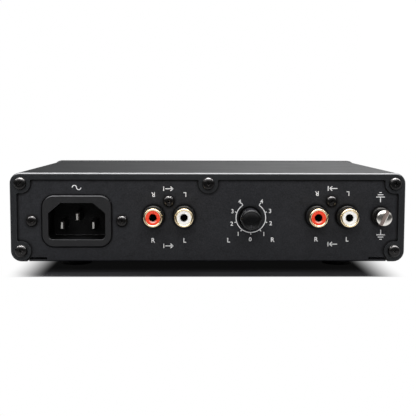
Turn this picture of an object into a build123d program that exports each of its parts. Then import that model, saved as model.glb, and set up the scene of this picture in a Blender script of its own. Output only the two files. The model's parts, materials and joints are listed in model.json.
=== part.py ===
"""Phono preamp: a steel sleeve over a folded chassis, with all its sockets on the rear wall.

X runs from the mains inlet to the ground terminal, +Y from the rear wall to the front panel,
+Z up. The origin is on the floor, under the middle of the whole object. All sizes are in mm.
"""
from build123d import *
import math
import os

# ---------------------------------------------------------------- case
CASE_WIDTH = 175.8
CASE_HEIGHT = 39.7
CASE_DEPTH = 135.0  # rear face of the cover's flange to the front panel's face
CORNER_RADIUS = 4.8
COVER_SHEET = 1.0
BEND_RADIUS = 1.0  # outside of the folded edge round the rear
FLANGE_WIDTH = 3.0  # turned-in rim of the cover, in front of the rear wall
LOBE_RADIUS = 4.3  # round ear of the rim about each cover screw
LOBE_FILLET = 0.8
SCREW_INSET_X = 4.8  # cover screws from the sides, and from top and bottom
SCREW_INSET_TOP = 4.8
SCREW_INSET_BOTTOM = 4.8

CHASSIS_SHEET = 1.0
SLIDE_GAP = 0.3  # the chassis walls inside the sleeve
FOLD_RADIUS = 0.8
BASE_INSET = 8.0  # edge of the base from the side of the case
LIP_GAP = 0.8  # slit between the base and the cover's bottom lips
RELIEF_LENGTH = 8.0  # slots beside the fold between base and rear wall
RELIEF_SLOT = 0.9
RELIEF_SETBACK = 0.3
SIDE_FLANGE_HEIGHT = 8.0
SIDE_FLANGE_INSET = 10.0
COLLAR_WALL = 1.2  # tapped collars drawn out of the sheet
COLLAR_LENGTH = 2.0

PANEL_THICKNESS = 6.0
PANEL_OVERHANG = 0.25  # beyond the case, all round
PANEL_CORNER = 3.5
PANEL_EDGE = 0.6
PANEL_SCREW_INSET = 19.5  # from the sides
PANEL_SCREW_MARGIN = 6.75  # from the top and the bottom
PANEL_SCREW_DEPTH = 4.0

FOOT_DIAMETER = 16.0
FOOT_HEIGHT = 5.0
FOOT_TAPER = 0.8
FOOT_EDGE = 0.6
FOOT_INSET_SIDE = 25.5
FOOT_INSET_REAR = 29.0
FOOT_INSET_FRONT = 24.0
FOOT_RECESS_DIAMETER = 8.0
FOOT_RECESS = 2.6

# ---------------------------------------------------------------- screws: metric pan heads
M3 = {"thread": 3.0, "head": 5.5, "rise": 1.8, "drive": 3.2}
M26 = {"thread": 2.6, "head": 4.8, "rise": 1.6, "drive": 2.8}
DRIVE_WIDTH = 0.8
DRIVE_DEPTH = 1.0
HEAD_EDGE = 0.7  # rounding of a pan head's rim
FIT = 0.05  # radial clearance of a close fit
HOLE_CLEARANCE = 0.2  # radial clearance of a screw hole
NUT_HEIGHT = 2.0
COVER_SCREW_LENGTH = 7.0
FOOT_SCREW_LENGTH = 6.0
SMALL_SCREW_LENGTH = 8.0

# ---------------------------------------------------------------- mains inlet
INLET_INSET = 29.5  # centre from the side of the case
INLET_RISE = 18.1  # centres above the case's bottom
INLET_SCREW_PITCH = 40.0
INLET_BOSS = (30.7, 22.8)
INLET_BOSS_CORNER = 5.2
INLET_BOSS_GAP = 0.5
INLET_BOSS_PROUD = 0.8
INLET_FLANGE = (46.4, 25.0)
INLET_FLANGE_CORNER = 4.0
INLET_FLANGE_THICKNESS = 2.5
INLET_HOUSING_WALL = 1.6
INLET_HOUSING_CORNER = 1.5
INLET_CAVITY = (25.3, 16.4)
INLET_CAVITY_CHAMFER = (5.5, 4.6)
INLET_CAVITY_CORNER = 2.0
INLET_CAVITY_DEPTH = 17.0
INLET_FLOOR = 3.0
PIN_PITCH = 14.0
PIN_SECTION = (2.0, 4.0)
PIN_EARTH_RISE = 4.0
PIN_DROP = 2.2  # line and neutral below the inlet's centre
PIN_RECESS = 3.0  # pin tips below the boss's face
EARTH_PIN_LEAD = 1.5  # the earth pin stands out further
PIN_TIP = 0.6
TAB_SECTION = (0.8, 4.8)
TAB_LENGTH = 8.0

# ---------------------------------------------------------------- twin phono sockets
OUTPUT_INSET = 70.4  # middle of the pair from the inlet's side of the case
INPUT_INSET = 32.9  # and from the ground terminal's side
JACK_RISE = 20.4
JACK_PITCH = 13.6
JACK_SCREW_RISE = 6.6
JACK_REACH = 9.0  # shell's mouth beyond the rear wall
SHELL_DIAMETER = 8.3
SHELL_BORE = 6.9
SHELL_EDGE = 0.3
SHELL_SEAT = 7.9
JACK_COLLAR = 9.6
JACK_COLLAR_PROUD = 3.0
JACK_COLLAR_EDGE = 0.6
JACK_HOLE = 10.2
INSULATOR_RECESS = 0.5
INSULATOR_BORE = 3.3
INSULATOR_BORE_EDGE = 0.3
INSULATOR_FRONT = 6.0  # depth of the plug pin's bore
CONTACT_WALL = 0.4
CONTACT_BORE = 4.0
CONTACT_GRIP = 3.0  # between the two leaves that press on a plug's pin
CONTACT_LEAF = (1.4, 5.0)
CONTACT_TAIL = (1.2, 0.5)
HOUSING_WIDTH = 27.6
HOUSING_DEPTH = 11.0
HOUSING_CROWN = 6.5  # housing above the sockets' centre
HOUSING_EAR = (9.0, 3.2)
HOUSING_EDGE = 0.5

# ---------------------------------------------------------------- balance control
BALANCE_X = 18.6  # from the middle of the case
BALANCE_RISE = 19.7
KNOB_DIAMETER = 9.0
KNOB_REACH = 11.0  # knob's face beyond the rear wall
KNOB_GAP = 0.6
KNOB_RIM = 0.7
KNOB_CAP = 2.0
KNOB_DISH_DEPTH = 0.35
KNOB_DISH_DIAMETER = 7.4
KNOB_MARK_DIAMETER = 1.2
KNOB_MARK_RADIUS = 2.8
SHAFT_DIAMETER = 6.0
SHAFT_FLAT = 1.5
BUSHING_DIAMETER = 7.2
BUSHING_HOLE_GAP = 0.2
POT_SIZE = (10.0, 7.0)  # width and depth of the body
POT_CROWN = 5.5
POT_SETBACK = 5.0
SHAFT_SEAT = 4.0

# ---------------------------------------------------------------- ground terminal
GROUND_INSET = 10.9  # centre from the side of the case
GROUND_RISE = 20.4
GROUND_REACH = 9.0  # screw's head beyond the rear wall
GROUND_HEAD = 7.2
GROUND_HEAD_EDGE = 0.7
GROUND_THREAD = 4.0
GROUND_PITCH = 0.7
GROUND_TURNS = 5
GROUND_SLOT = (1.6, 1.4)
GROUND_SLOT_ANGLE = 64.0
KNURL_COUNT = 28
KNURL_DEPTH = 0.25
GROUND_COLLAR = 8.0
GROUND_COLLAR_HEIGHT = 2.4
GROUND_COLLAR_EDGE = 0.4
GROUND_WASHER = 6.8
GROUND_WASHER_THICKNESS = 0.7
GROUND_PLAY = 0.1
GROUND_INSERT = 7.0
GROUND_INSERT_LENGTH = 9.0
GROUND_SPIGOT = 5.4
GROUND_NUT_WIDTH = 9.0
RING_THICKNESS = 0.8
RING_WIDTH = 9.0

# ---------------------------------------------------------------- power button and lamp
BUTTON_INSET = 21.5  # centre from the side of the case
BUTTON_SIZE = (12.0, 5.0)
BUTTON_GAP = 0.2
BUTTON_PROUD = 1.0
BUTTON_EDGE = 0.4
BUTTON_TRAVEL = 0.8
BUTTON_FLANGE = 1.5  # rim that keeps the button behind the panel
BUTTON_FLANGE_THICKNESS = 1.0
BUTTON_CUTOUT_GAP = 1.0
PLUNGER_DIAMETER = 3.4
PLUNGER_GAP = 0.2
SWITCH_SIZE = (6.2, 3.5)
SWITCH_FLOOR = 1.0
LAMP_SPACING = 12.0  # lamp from the button
LAMP_DIAMETER = 3.0
LAMP_FLANGE = 3.8
LAMP_LENGTH = 5.3
LAMP_LEG = 0.5
LAMP_LEG_PITCH = 2.54
FRONT_BOARD_WIDTH = 34.0
FRONT_BOARD_HEIGHT = 22.0
FRONT_BOARD_SHIFT = 4.0  # its middle from the button
FRONT_SPACER_X = 14.0
FRONT_SPACER_RISE = 7.5

# ---------------------------------------------------------------- boards
BOARD_THICKNESS = 1.6
SPACER_HEIGHT = 6.0
SPACER_WIDTH = 5.0
SPACER_SPIGOT = 4.2
BOARD_SCREW_LENGTH = 5.0
BOARD_SCREW_INSET = 4.5
BOARD_SIDE_GAP = 2.5  # from the chassis's side flanges
BOARD_GAP = 4.0
SUPPLY_BOARD_WIDTH = 45.0
SUPPLY_BOARD_SETBACK = 23.8  # behind the inlet
SUPPLY_BOARD_FRONT_GAP = 14.0
MAIN_BOARD_SETBACK = 1.0  # behind the rear wall
MAIN_BOARD_FRONT_GAP = 19.0

CHIP_SIZE = (6.4, 9.4, 3.3)
CHIP_SPREAD = 7.0  # either side of the input pair's middle
CHIP_ROWS = (33.0, 49.0)  # behind the rear wall
OUTPUT_CHIP_SHIFT = 4.0
CHIP_LIFT = 0.6
CHIP_LEG = (0.5, 0.8)
CHIP_LEG_PITCH = 2.54
FILM_SIZE = (7.2, 2.6, 6.5)
FILM_ROWS = 4
FILM_COLUMNS = 3
FILM_FIRST_ROW = 35.0
FILM_PITCH = (6.0, 8.5)
CAN_DIAMETER = 10.0
CAN_HEIGHT = 16.0
CAN_EDGE = 0.6
CAN_GROOVE = (2.0, 2.8)  # from the foot of the can
CAN_ROWS = (60.0, 71.5)
OUTPUT_CAN_SHIFTS = (1.5, 14.5)
BULK_DIAMETER = 16.0
BULK_HEIGHT = 24.0
BULK_INSET = (34.6, 33.0)  # from the supply board's inner edge and from its rear edge
CORE_SIZE = (22.0, 12.0, 20.0)
CORE_LIMB = 4.0
CORE_LIFT = 1.0
BOBBIN_SIZE = (13.0, 17.0)
BOBBIN_EDGE = 2.0
BOBBIN_FOOT = 2.0
TRANSFORMER_INSET = (15.0, 39.0)
FUSE_DIAMETER = 5.0
FUSE_LENGTH = 20.0
FUSE_CAP = 5.0
FUSE_GLASS_STEP = 0.3
FUSE_CLIP_RIM = 0.5
FUSE_INSET = (15.0, 12.0)
FUSE_LIFT = 4.5
HEADER_DEPTH = 5.8
HEADER_HEIGHT = 7.0
HEADER_WALL = 1.2
HEADER_PIN_PITCH = 2.5
MAINS_HEADER_INSET = (28.0, 6.0)
SUPPLY_HEADER_INSET = (15.0, 53.0)
MAIN_HEADER_INSET = (7.0, 12.0)  # from the main board's inner edge and from its front edge
RIBBON_HEADER_INSET = 10.0

# ---------------------------------------------------------------- leads
MAINS_LEAD = 2.2
EARTH_LEAD = 2.4
SIGNAL_LEAD = 1.4
RIBBON_SECTION = (8.0, 0.9)
LEAD_LOOP = 7.0  # rise of a lead above its connector
LEAD_RUN = 8.0  # straight run out of the inlet
EARTH_RUN = 5.0
GROUND_RUN = 3.0
RIBBON_RUN = 5.0
EARTH_STUD_INSET = (5.0, 12.8)  # from the supply board's inner edge, and behind the inlet
EARTH_STUD_HEIGHT = 9.0
EARTH_NUT_WIDTH = 7.0

# ---------------------------------------------------------------- places that follow
KNOB_BEHIND_FLANGE = KNOB_REACH - COVER_SHEET
OVERALL_DEPTH = CASE_DEPTH + KNOB_BEHIND_FLANGE + BUTTON_PROUD
REAR_FACE = KNOB_BEHIND_FLANGE - OVERALL_DEPTH / 2
FRONT_FACE = REAR_FACE + CASE_DEPTH
WALL_FACE = REAR_FACE + COVER_SHEET
WALL_BACK = WALL_FACE + CHASSIS_SHEET
PANEL_BACK = FRONT_FACE - PANEL_THICKNESS
FRONT_WALL = PANEL_BACK - CHASSIS_SHEET

CASE_BOTTOM = FOOT_HEIGHT
CASE_TOP = CASE_BOTTOM + CASE_HEIGHT
CASE_MID = CASE_BOTTOM + CASE_HEIGHT / 2
BASE_TOP = CASE_BOTTOM + CHASSIS_SHEET
BOARD_BOTTOM = BASE_TOP + SPACER_HEIGHT
BOARD_TOP = BOARD_BOTTOM + BOARD_THICKNESS
INLET_X = INLET_INSET - CASE_WIDTH / 2
INLET_Z = CASE_BOTTOM + INLET_RISE
JACK_XS = {"output": OUTPUT_INSET - CASE_WIDTH / 2, "input": CASE_WIDTH / 2 - INPUT_INSET}
JACK_Z = CASE_BOTTOM + JACK_RISE
BALANCE_Z = CASE_BOTTOM + BALANCE_RISE
GROUND_X = CASE_WIDTH / 2 - GROUND_INSET
GROUND_Z = CASE_BOTTOM + GROUND_RISE
BUTTON_X = CASE_WIDTH / 2 - BUTTON_INSET
LAMP_X = BUTTON_X - LAMP_SPACING
FRONT_BOARD_X = BUTTON_X - FRONT_BOARD_SHIFT

LOBE_X = CASE_WIDTH / 2 - SCREW_INSET_X
LOBE_TOP = CASE_TOP - SCREW_INSET_TOP
LOBE_BOTTOM = CASE_BOTTOM + SCREW_INSET_BOTTOM
COVER_SCREW_PLACES = [(x, z) for x in (-LOBE_X, LOBE_X) for z in (LOBE_BOTTOM, LOBE_TOP)]
COVER_SCREW_PLACES.append((0.0, LOBE_TOP))
BASE_EDGE = CASE_WIDTH / 2 - BASE_INSET
LIP_EDGE = BASE_EDGE + LIP_GAP
FOLD_END = BASE_EDGE - RELIEF_LENGTH

INLET_SCREW_XS = [INLET_X + side * INLET_SCREW_PITCH / 2 for side in (-1, 1)]
INLET_FACE = WALL_FACE - INLET_BOSS_PROUD
INLET_BACK = INLET_FACE + INLET_CAVITY_DEPTH + INLET_FLOOR
PIN_Z = INLET_Z - PIN_DROP
JACK_MOUTH = WALL_FACE - JACK_REACH
JACK_COLLAR_FACE = WALL_FACE - JACK_COLLAR_PROUD
JACK_BACK = WALL_BACK + HOUSING_DEPTH
KNOB_FACE = WALL_FACE - KNOB_REACH
POT_FRONT = WALL_BACK + POT_SETBACK
GROUND_FACE = WALL_FACE - GROUND_REACH
GROUND_COLLAR_FACE = WALL_FACE - GROUND_COLLAR_HEIGHT
GROUND_WASHER_BACK = GROUND_COLLAR_FACE - GROUND_PLAY
GROUND_HEAD_BACK = GROUND_WASHER_BACK - GROUND_WASHER_THICKNESS - GROUND_PLAY
GROUND_INSERT_BACK = WALL_BACK + GROUND_INSERT_LENGTH

PANEL_SCREW_X = CASE_WIDTH / 2 - PANEL_SCREW_INSET
PANEL_SCREW_ZS = (CASE_BOTTOM + PANEL_SCREW_MARGIN, CASE_TOP - PANEL_SCREW_MARGIN)
PANEL_SCREW_PLACES = [(x, z) for x in (-PANEL_SCREW_X, PANEL_SCREW_X) for z in PANEL_SCREW_ZS]
FOOT_X = CASE_WIDTH / 2 - FOOT_INSET_SIDE
FOOT_PLACES = {
    "rear_left": (-FOOT_X, REAR_FACE + FOOT_INSET_REAR),
    "rear_right": (FOOT_X, REAR_FACE + FOOT_INSET_REAR),
    "front_left": (-FOOT_X, FRONT_FACE - FOOT_INSET_FRONT),
    "front_right": (FOOT_X, FRONT_FACE - FOOT_INSET_FRONT),
}
BOARD_EDGE = BASE_EDGE - CHASSIS_SHEET - BOARD_SIDE_GAP
SUPPLY_BOARD_X = (-BOARD_EDGE, SUPPLY_BOARD_WIDTH - BOARD_EDGE)
SUPPLY_BOARD_Y = (INLET_BACK + SUPPLY_BOARD_SETBACK, FRONT_WALL - SUPPLY_BOARD_FRONT_GAP)
MAIN_BOARD_X = (SUPPLY_BOARD_X[1] + BOARD_GAP, BOARD_EDGE)
MAIN_BOARD_Y = (WALL_BACK + MAIN_BOARD_SETBACK, FRONT_WALL - MAIN_BOARD_FRONT_GAP)
FRONT_BOARD_Y = FRONT_WALL - SPACER_HEIGHT - BOARD_THICKNESS
HEADER_TOP = BOARD_TOP + HEADER_HEIGHT


def on_supply_board(inset):
    """Place on the supply board, from its inner edge and its rear edge."""
    return (SUPPLY_BOARD_X[1] - inset[0], SUPPLY_BOARD_Y[0] + inset[1])


MAINS_HEADER = on_supply_board(MAINS_HEADER_INSET)
SUPPLY_HEADER = on_supply_board(SUPPLY_HEADER_INSET)
MAIN_HEADER = (MAIN_BOARD_X[0] + MAIN_HEADER_INSET[0], MAIN_BOARD_Y[1] - MAIN_HEADER_INSET[1])
RIBBON_HEADER = (FRONT_BOARD_X, MAIN_BOARD_Y[1] - RIBBON_HEADER_INSET)
EARTH_STUD = (SUPPLY_BOARD_X[1] - EARTH_STUD_INSET[0], INLET_BACK + EARTH_STUD_INSET[1])


def corners_of(span_x, span_y):
    """Screw places near the four corners of a board."""
    xs = (span_x[0] + BOARD_SCREW_INSET, span_x[1] - BOARD_SCREW_INSET)
    ys = (span_y[0] + BOARD_SCREW_INSET, span_y[1] - BOARD_SCREW_INSET)
    return [(x, y) for x in xs for y in ys]


MAIN_SCREW_ROW = (MAIN_BOARD_Y[0] + 2 * HOUSING_DEPTH, MAIN_BOARD_Y[1])
BOARD_SCREW_PLACES = corners_of(MAIN_BOARD_X, MAIN_SCREW_ROW) + corners_of(SUPPLY_BOARD_X, SUPPLY_BOARD_Y)
FRONT_SPACER_PLACES = [
    (FRONT_BOARD_X + side * FRONT_SPACER_X, CASE_MID + side * FRONT_SPACER_RISE) for side in (-1, 1)
]


# ---------------------------------------------------------------- shape helpers
def across(y_from, y_to, outline):
    """Solid of an X-Z outline between two places along Y."""
    plane = Plane(origin=(0, y_to, 0), x_dir=(1, 0, 0), z_dir=(0, -1, 0))
    return extrude(plane * outline, y_to - y_from)


def block(x_span, y_span, z_span):
    """Box between two places on each axis."""
    spans = (x_span, y_span, z_span)
    middle = [(low + high) / 2 for low, high in spans]
    size = [high - low for low, high in spans]
    return Pos(*middle) * Box(*size)


def rod(x, z, diameter, y_from, y_to):
    """Cylinder along Y."""
    return across(y_from, y_to, Pos(x, z) * Circle(diameter / 2))


def post(x, y, diameter, z_from, z_to):
    """Upright cylinder."""
    return Pos(x, y, (z_from + z_to) / 2) * Cylinder(diameter / 2, z_to - z_from)


def about(middle, width):
    """Span of a given width about a place."""
    return (middle - width / 2, middle + width / 2)


def ends_of(shape, axis, last=False):
    """Edges of the face that lies furthest along an axis."""
    return shape.faces().sort_by(axis)[-1 if last else 0].edges()


def pan_screw(size, length):
    """Screw with its head up and the underside of the head at the origin."""
    head = Pos(0, 0, size["rise"] / 2) * Cylinder(size["head"] / 2, size["rise"])
    head = fillet(ends_of(head, Axis.Z, last=True), HEAD_EDGE)
    shank = Pos(0, 0, -length / 2) * Cylinder(size["thread"] / 2, length)
    shank = chamfer(ends_of(shank, Axis.Z), size["thread"] / 8)
    screw = head + shank
    for turn in (0, 90):
        slot = Box(size["drive"], DRIVE_WIDTH, DRIVE_DEPTH)
        screw -= Pos(0, 0, size["rise"] - DRIVE_DEPTH / 2) * Rot(Z=turn + 45) * slot
    return screw


def rear_screws(places, size, length, seat):
    """Screws driven towards the front, heads against a face at seat."""
    screw = Rot(X=90) * pan_screw(size, length)
    return [Pos(x, seat, z) * screw for x, z in places]


def hole_for(size):
    """Clearance hole of a screw."""
    return size["thread"] + 2 * HOLE_CLEARANCE


def tapped_for(size):
    """Hole that the screw's thread fits."""
    return size["thread"] + 2 * FIT


def hex_bar(width, length):
    """Upright hexagon bar on the X-Y plane, width across flats."""
    return extrude(RegularPolygon(width / 2, 6, major_radius=False), length)


def bend_radii(points):
    """Largest arcs that two neighbouring runs leave room for, one for each corner."""
    share = 0.45
    radii = []
    for before, corner, after in zip(points, points[1:], points[2:]):
        run_in = Vector(*corner) - Vector(*before)
        run_out = Vector(*after) - Vector(*corner)
        half_turn = math.radians(run_in.get_angle(run_out)) / 2
        radii.append(share * min(run_in.length, run_out.length) / math.tan(half_turn))
    return radii


def lead(points, section):
    """Insulated lead along straight runs joined by arcs."""
    path = FilletPolyline(*points, radius=bend_radii(points))
    start = Plane(origin=points[0], z_dir=path % 0)
    return sweep(start * section, path=path)


# ---------------------------------------------------------------- case
def case_outline(inset, corner):
    """Rounded outline of the case, drawn in by an inset."""
    outline = RectangleRounded(CASE_WIDTH - 2 * inset, CASE_HEIGHT - 2 * inset, corner)
    return Pos(0, CASE_MID) * outline


def rim_opening():
    """Hole of the cover's rear rim: open at the bottom, with an ear for each screw."""
    half_width = CASE_WIDTH / 2 - FLANGE_WIDTH
    top = CASE_TOP - FLANGE_WIDTH
    bottom = CASE_BOTTOM - FLANGE_WIDTH
    opening = Pos(0, (top + bottom) / 2) * Rectangle(2 * half_width, top - bottom)
    for x, z in COVER_SCREW_PLACES:
        opening -= Pos(x, z) * Circle(LOBE_RADIUS)
    for side in (-1, 1):
        corner = Pos(side * (LOBE_X + LOBE_RADIUS), LOBE_BOTTOM - LOBE_RADIUS)
        opening -= corner * Rectangle(2 * LOBE_RADIUS, 2 * LOBE_RADIUS)
        lip_width = CASE_WIDTH / 2 - LIP_EDGE
        lip = Pos(side * (LIP_EDGE + lip_width / 2), CASE_BOTTOM)
        opening -= lip * Rectangle(lip_width, 2 * COVER_SHEET)
    ears = [
        point
        for point in opening.vertices()
        if point.Y > LOBE_BOTTOM
        and (abs(abs(point.X) - half_width) < FIT or abs(point.Y - top) < FIT)
    ]
    return fillet(ears, LOBE_FILLET)


def make_top_cover():
    """One folded sleeve: top, sides, bottom lips and the rim round the rear wall."""
    cover = across(REAR_FACE, PANEL_BACK, case_outline(0, CORNER_RADIUS))
    cover = fillet(ends_of(cover, Axis.Y), BEND_RADIUS)
    inside = case_outline(COVER_SHEET, max(CORNER_RADIUS - COVER_SHEET, SLIDE_GAP))
    cover -= across(WALL_FACE, PANEL_BACK, inside)
    cover -= across(REAR_FACE, WALL_FACE, rim_opening())
    cover -= block((-LIP_EDGE, LIP_EDGE), (REAR_FACE, PANEL_BACK), about(CASE_BOTTOM, 2 * COVER_SHEET))
    for x, z in COVER_SCREW_PLACES:
        cover -= rod(x, z, hole_for(M3), REAR_FACE, WALL_FACE)
    return cover


def wall_outline():
    """Outline of the chassis's end walls, with the relief slots beside the fold."""
    half_width = CASE_WIDTH / 2 - COVER_SHEET - SLIDE_GAP
    top = CASE_TOP - COVER_SHEET - SLIDE_GAP
    bottom = BASE_TOP + RELIEF_SLOT
    corner = max(CORNER_RADIUS - COVER_SHEET - SLIDE_GAP, SLIDE_GAP)
    plate = Pos(0, (top + bottom) / 2) * RectangleRounded(2 * half_width, top - bottom, corner)
    fold_top = bottom + corner
    fold = Pos(0, (CASE_BOTTOM + fold_top) / 2) * Rectangle(2 * FOLD_END, fold_top - CASE_BOTTOM)
    return plate + fold


def rear_wall_cuts():
    """Everything that is cut through the rear wall."""
    y_span = (WALL_FACE, WALL_BACK)
    width, height = (side + 2 * INLET_BOSS_GAP for side in INLET_BOSS)
    cutout = RectangleRounded(width, height, INLET_BOSS_CORNER + INLET_BOSS_GAP)
    cuts = [across(*y_span, Pos(INLET_X, INLET_Z) * cutout)]
    cuts += [rod(x, INLET_Z, hole_for(M26), *y_span) for x in INLET_SCREW_XS]
    for middle in JACK_XS.values():
        cuts += [rod(middle + side * JACK_PITCH / 2, JACK_Z, JACK_HOLE, *y_span) for side in (-1, 1)]
        cuts.append(rod(middle, JACK_Z + JACK_SCREW_RISE, hole_for(M26), *y_span))
    cuts.append(rod(BALANCE_X, BALANCE_Z, BUSHING_DIAMETER + 2 * BUSHING_HOLE_GAP, *y_span))
    cuts.append(rod(GROUND_X, GROUND_Z, GROUND_SPIGOT + 2 * FIT, *y_span))
    return cuts


def front_wall_cuts():
    """Everything that is cut through the front wall."""
    y_span = (FRONT_WALL, PANEL_BACK)
    width, height = (side + 2 * (BUTTON_FLANGE + BUTTON_CUTOUT_GAP) for side in BUTTON_SIZE)
    cuts = [across(*y_span, Pos(BUTTON_X, CASE_MID) * RectangleRounded(width, height, height / 4))]
    cuts.append(rod(LAMP_X, CASE_MID, LAMP_FLANGE + 2 * HOLE_CLEARANCE, *y_span))
    cuts += [rod(x, z, hole_for(M3), *y_span) for x, z in PANEL_SCREW_PLACES]
    cuts += [rod(x, z, SPACER_SPIGOT + 2 * FIT, *y_span) for x, z in FRONT_SPACER_PLACES]
    return cuts


def base_cuts():
    """Everything that is cut through the base."""
    z_span = (CASE_BOTTOM, BASE_TOP)
    cuts = [post(x, y, SPACER_SPIGOT + 2 * FIT, *z_span) for x, y in BOARD_SCREW_PLACES]
    cuts.append(post(*EARTH_STUD, GROUND_THREAD + 2 * FIT, *z_span))
    return cuts


def make_base_chassis():
    """Base with its end walls and side flanges, all folded from one sheet."""
    chassis = block(about(0, 2 * FOLD_END), (WALL_FACE, PANEL_BACK), (CASE_BOTTOM, BASE_TOP))
    base_span = (WALL_FACE + RELIEF_SETBACK, PANEL_BACK - RELIEF_SETBACK)
    chassis += block(about(0, 2 * BASE_EDGE), base_span, (CASE_BOTTOM, BASE_TOP))
    chassis += across(WALL_FACE, WALL_BACK, wall_outline())
    chassis += across(FRONT_WALL, PANEL_BACK, wall_outline())
    fold = [
        edge
        for edge in chassis.edges().filter_by(Axis.X)
        if abs(edge.center().Y - WALL_FACE) < FIT and abs(edge.center().Z - CASE_BOTTOM) < FIT
    ]
    chassis = fillet(fold, FOLD_RADIUS)
    flange_y = (WALL_BACK + SIDE_FLANGE_INSET, FRONT_WALL - SIDE_FLANGE_INSET)
    for side in (-1, 1):
        outer = side * BASE_EDGE
        x_span = sorted((outer, outer - side * CHASSIS_SHEET))
        chassis += block(x_span, flange_y, (CASE_BOTTOM, CASE_BOTTOM + SIDE_FLANGE_HEIGHT))
    for x, z in COVER_SCREW_PLACES:
        chassis += rod(x, z, M3["thread"] + 2 * COLLAR_WALL, WALL_BACK, WALL_BACK + COLLAR_LENGTH)
        chassis -= rod(x, z, tapped_for(M3), WALL_FACE, WALL_BACK + COLLAR_LENGTH)
    for x, y in FOOT_PLACES.values():
        chassis += post(x, y, M3["thread"] + 2 * COLLAR_WALL, BASE_TOP, BASE_TOP + COLLAR_LENGTH)
        chassis -= post(x, y, tapped_for(M3), CASE_BOTTOM, BASE_TOP + COLLAR_LENGTH)
    for cut in rear_wall_cuts() + front_wall_cuts() + base_cuts():
        chassis -= cut
    return chassis


def make_front_panel():
    """Thick metal panel with softened edges, screwed on from behind."""
    panel = across(PANEL_BACK, FRONT_FACE, case_outline(-PANEL_OVERHANG, PANEL_CORNER))
    panel = fillet(ends_of(panel, Axis.Y, last=True), PANEL_EDGE)
    width, height = (side + 2 * BUTTON_GAP for side in BUTTON_SIZE)
    panel -= across(PANEL_BACK, FRONT_FACE, Pos(BUTTON_X, CASE_MID) * SlotOverall(width, height))
    panel -= rod(LAMP_X, CASE_MID, LAMP_DIAMETER + 2 * FIT, PANEL_BACK, FRONT_FACE)
    for x, z in PANEL_SCREW_PLACES:
        panel -= rod(x, z, tapped_for(M3), PANEL_BACK, PANEL_BACK + PANEL_SCREW_DEPTH)
    return panel


def make_foot(x, y):
    """Moulded rubber foot, narrower at the floor, with a recess for its screw."""
    foot = Pos(0, 0, FOOT_HEIGHT / 2) * Cone(FOOT_DIAMETER / 2 - FOOT_TAPER, FOOT_DIAMETER / 2, FOOT_HEIGHT)
    foot = fillet(ends_of(foot, Axis.Z), FOOT_EDGE)
    foot -= post(0, 0, FOOT_RECESS_DIAMETER, 0, FOOT_RECESS)
    foot -= post(0, 0, hole_for(M3), 0, FOOT_HEIGHT)
    return Pos(x, y, 0) * foot


def make_foot_screws():
    """Screws up through the feet into the base."""
    screw = Rot(X=180) * pan_screw(M3, FOOT_SCREW_LENGTH)
    return [Pos(x, y, FOOT_RECESS) * screw for x, y in FOOT_PLACES.values()]


# ---------------------------------------------------------------- mains inlet
def cavity_outline():
    """Mouth of the inlet: two cut corners above, two round ones below."""
    half_width, half_height = (side / 2 for side in INLET_CAVITY)
    cut_x, cut_z = INLET_CAVITY_CHAMFER
    outline = Polygon(
        (-half_width, -half_height),
        (half_width, -half_height),
        (half_width, half_height - cut_z),
        (half_width - cut_x, half_height),
        (cut_x - half_width, half_height),
        (-half_width, half_height - cut_z),
        align=None,
    )
    low = [point for point in outline.vertices() if point.Y < -half_height + FIT]
    return Pos(INLET_X, INLET_Z) * fillet(low, INLET_CAVITY_CORNER)


def pin_places():
    """The three pins of the inlet, by name."""
    return {
        "line": (INLET_X + PIN_PITCH / 2, PIN_Z),
        "neutral": (INLET_X - PIN_PITCH / 2, PIN_Z),
        "earth": (INLET_X, PIN_Z + PIN_EARTH_RISE),
    }


def make_inlet_body():
    """Moulded inlet, held behind the wall with its boss through the cut-out."""
    at_inlet = Pos(INLET_X, INLET_Z)
    body = across(INLET_FACE, WALL_BACK, at_inlet * RectangleRounded(*INLET_BOSS, INLET_BOSS_CORNER))
    body = fillet(ends_of(body, Axis.Y), INLET_BOSS_PROUD / 2)
    flange = at_inlet * RectangleRounded(*INLET_FLANGE, INLET_FLANGE_CORNER)
    body += across(WALL_BACK, WALL_BACK + INLET_FLANGE_THICKNESS, flange)
    width, height = (side + 2 * INLET_HOUSING_WALL for side in INLET_CAVITY)
    housing = at_inlet * RectangleRounded(width, height, INLET_HOUSING_CORNER)
    body += across(WALL_BACK, INLET_BACK, housing)
    body -= across(INLET_FACE, INLET_FACE + INLET_CAVITY_DEPTH, cavity_outline())
    width, height = (side + 2 * FIT for side in PIN_SECTION)
    for x, z in pin_places().values():
        body -= across(INLET_FACE, INLET_BACK, Pos(x, z) * Rectangle(width, height))
    for x in INLET_SCREW_XS:
        body -= rod(x, INLET_Z, hole_for(M26), WALL_BACK, WALL_BACK + INLET_FLANGE_THICKNESS)
    return body


def make_inlet_pin(name):
    """Flat pin with a chamfered tip, and its solder tab behind the inlet."""
    x, z = pin_places()[name]
    tip = INLET_FACE + PIN_RECESS - (EARTH_PIN_LEAD if name == "earth" else 0)
    pin = across(tip, INLET_BACK, Pos(x, z) * Rectangle(*PIN_SECTION))
    pin = chamfer(ends_of(pin, Axis.Y), PIN_TIP)
    return pin + across(INLET_BACK, INLET_BACK + TAB_LENGTH, Pos(x, z) * Rectangle(*TAB_SECTION))


def make_inlet_nuts():
    """Nuts behind the inlet's flange."""
    nut = Rot(X=90) * (hex_bar(M26["head"], NUT_HEIGHT) - post(0, 0, tapped_for(M26), 0, NUT_HEIGHT))
    seat = WALL_BACK + INLET_FLANGE_THICKNESS + NUT_HEIGHT
    return [Pos(x, seat, INLET_Z) * nut for x in INLET_SCREW_XS]


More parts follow.
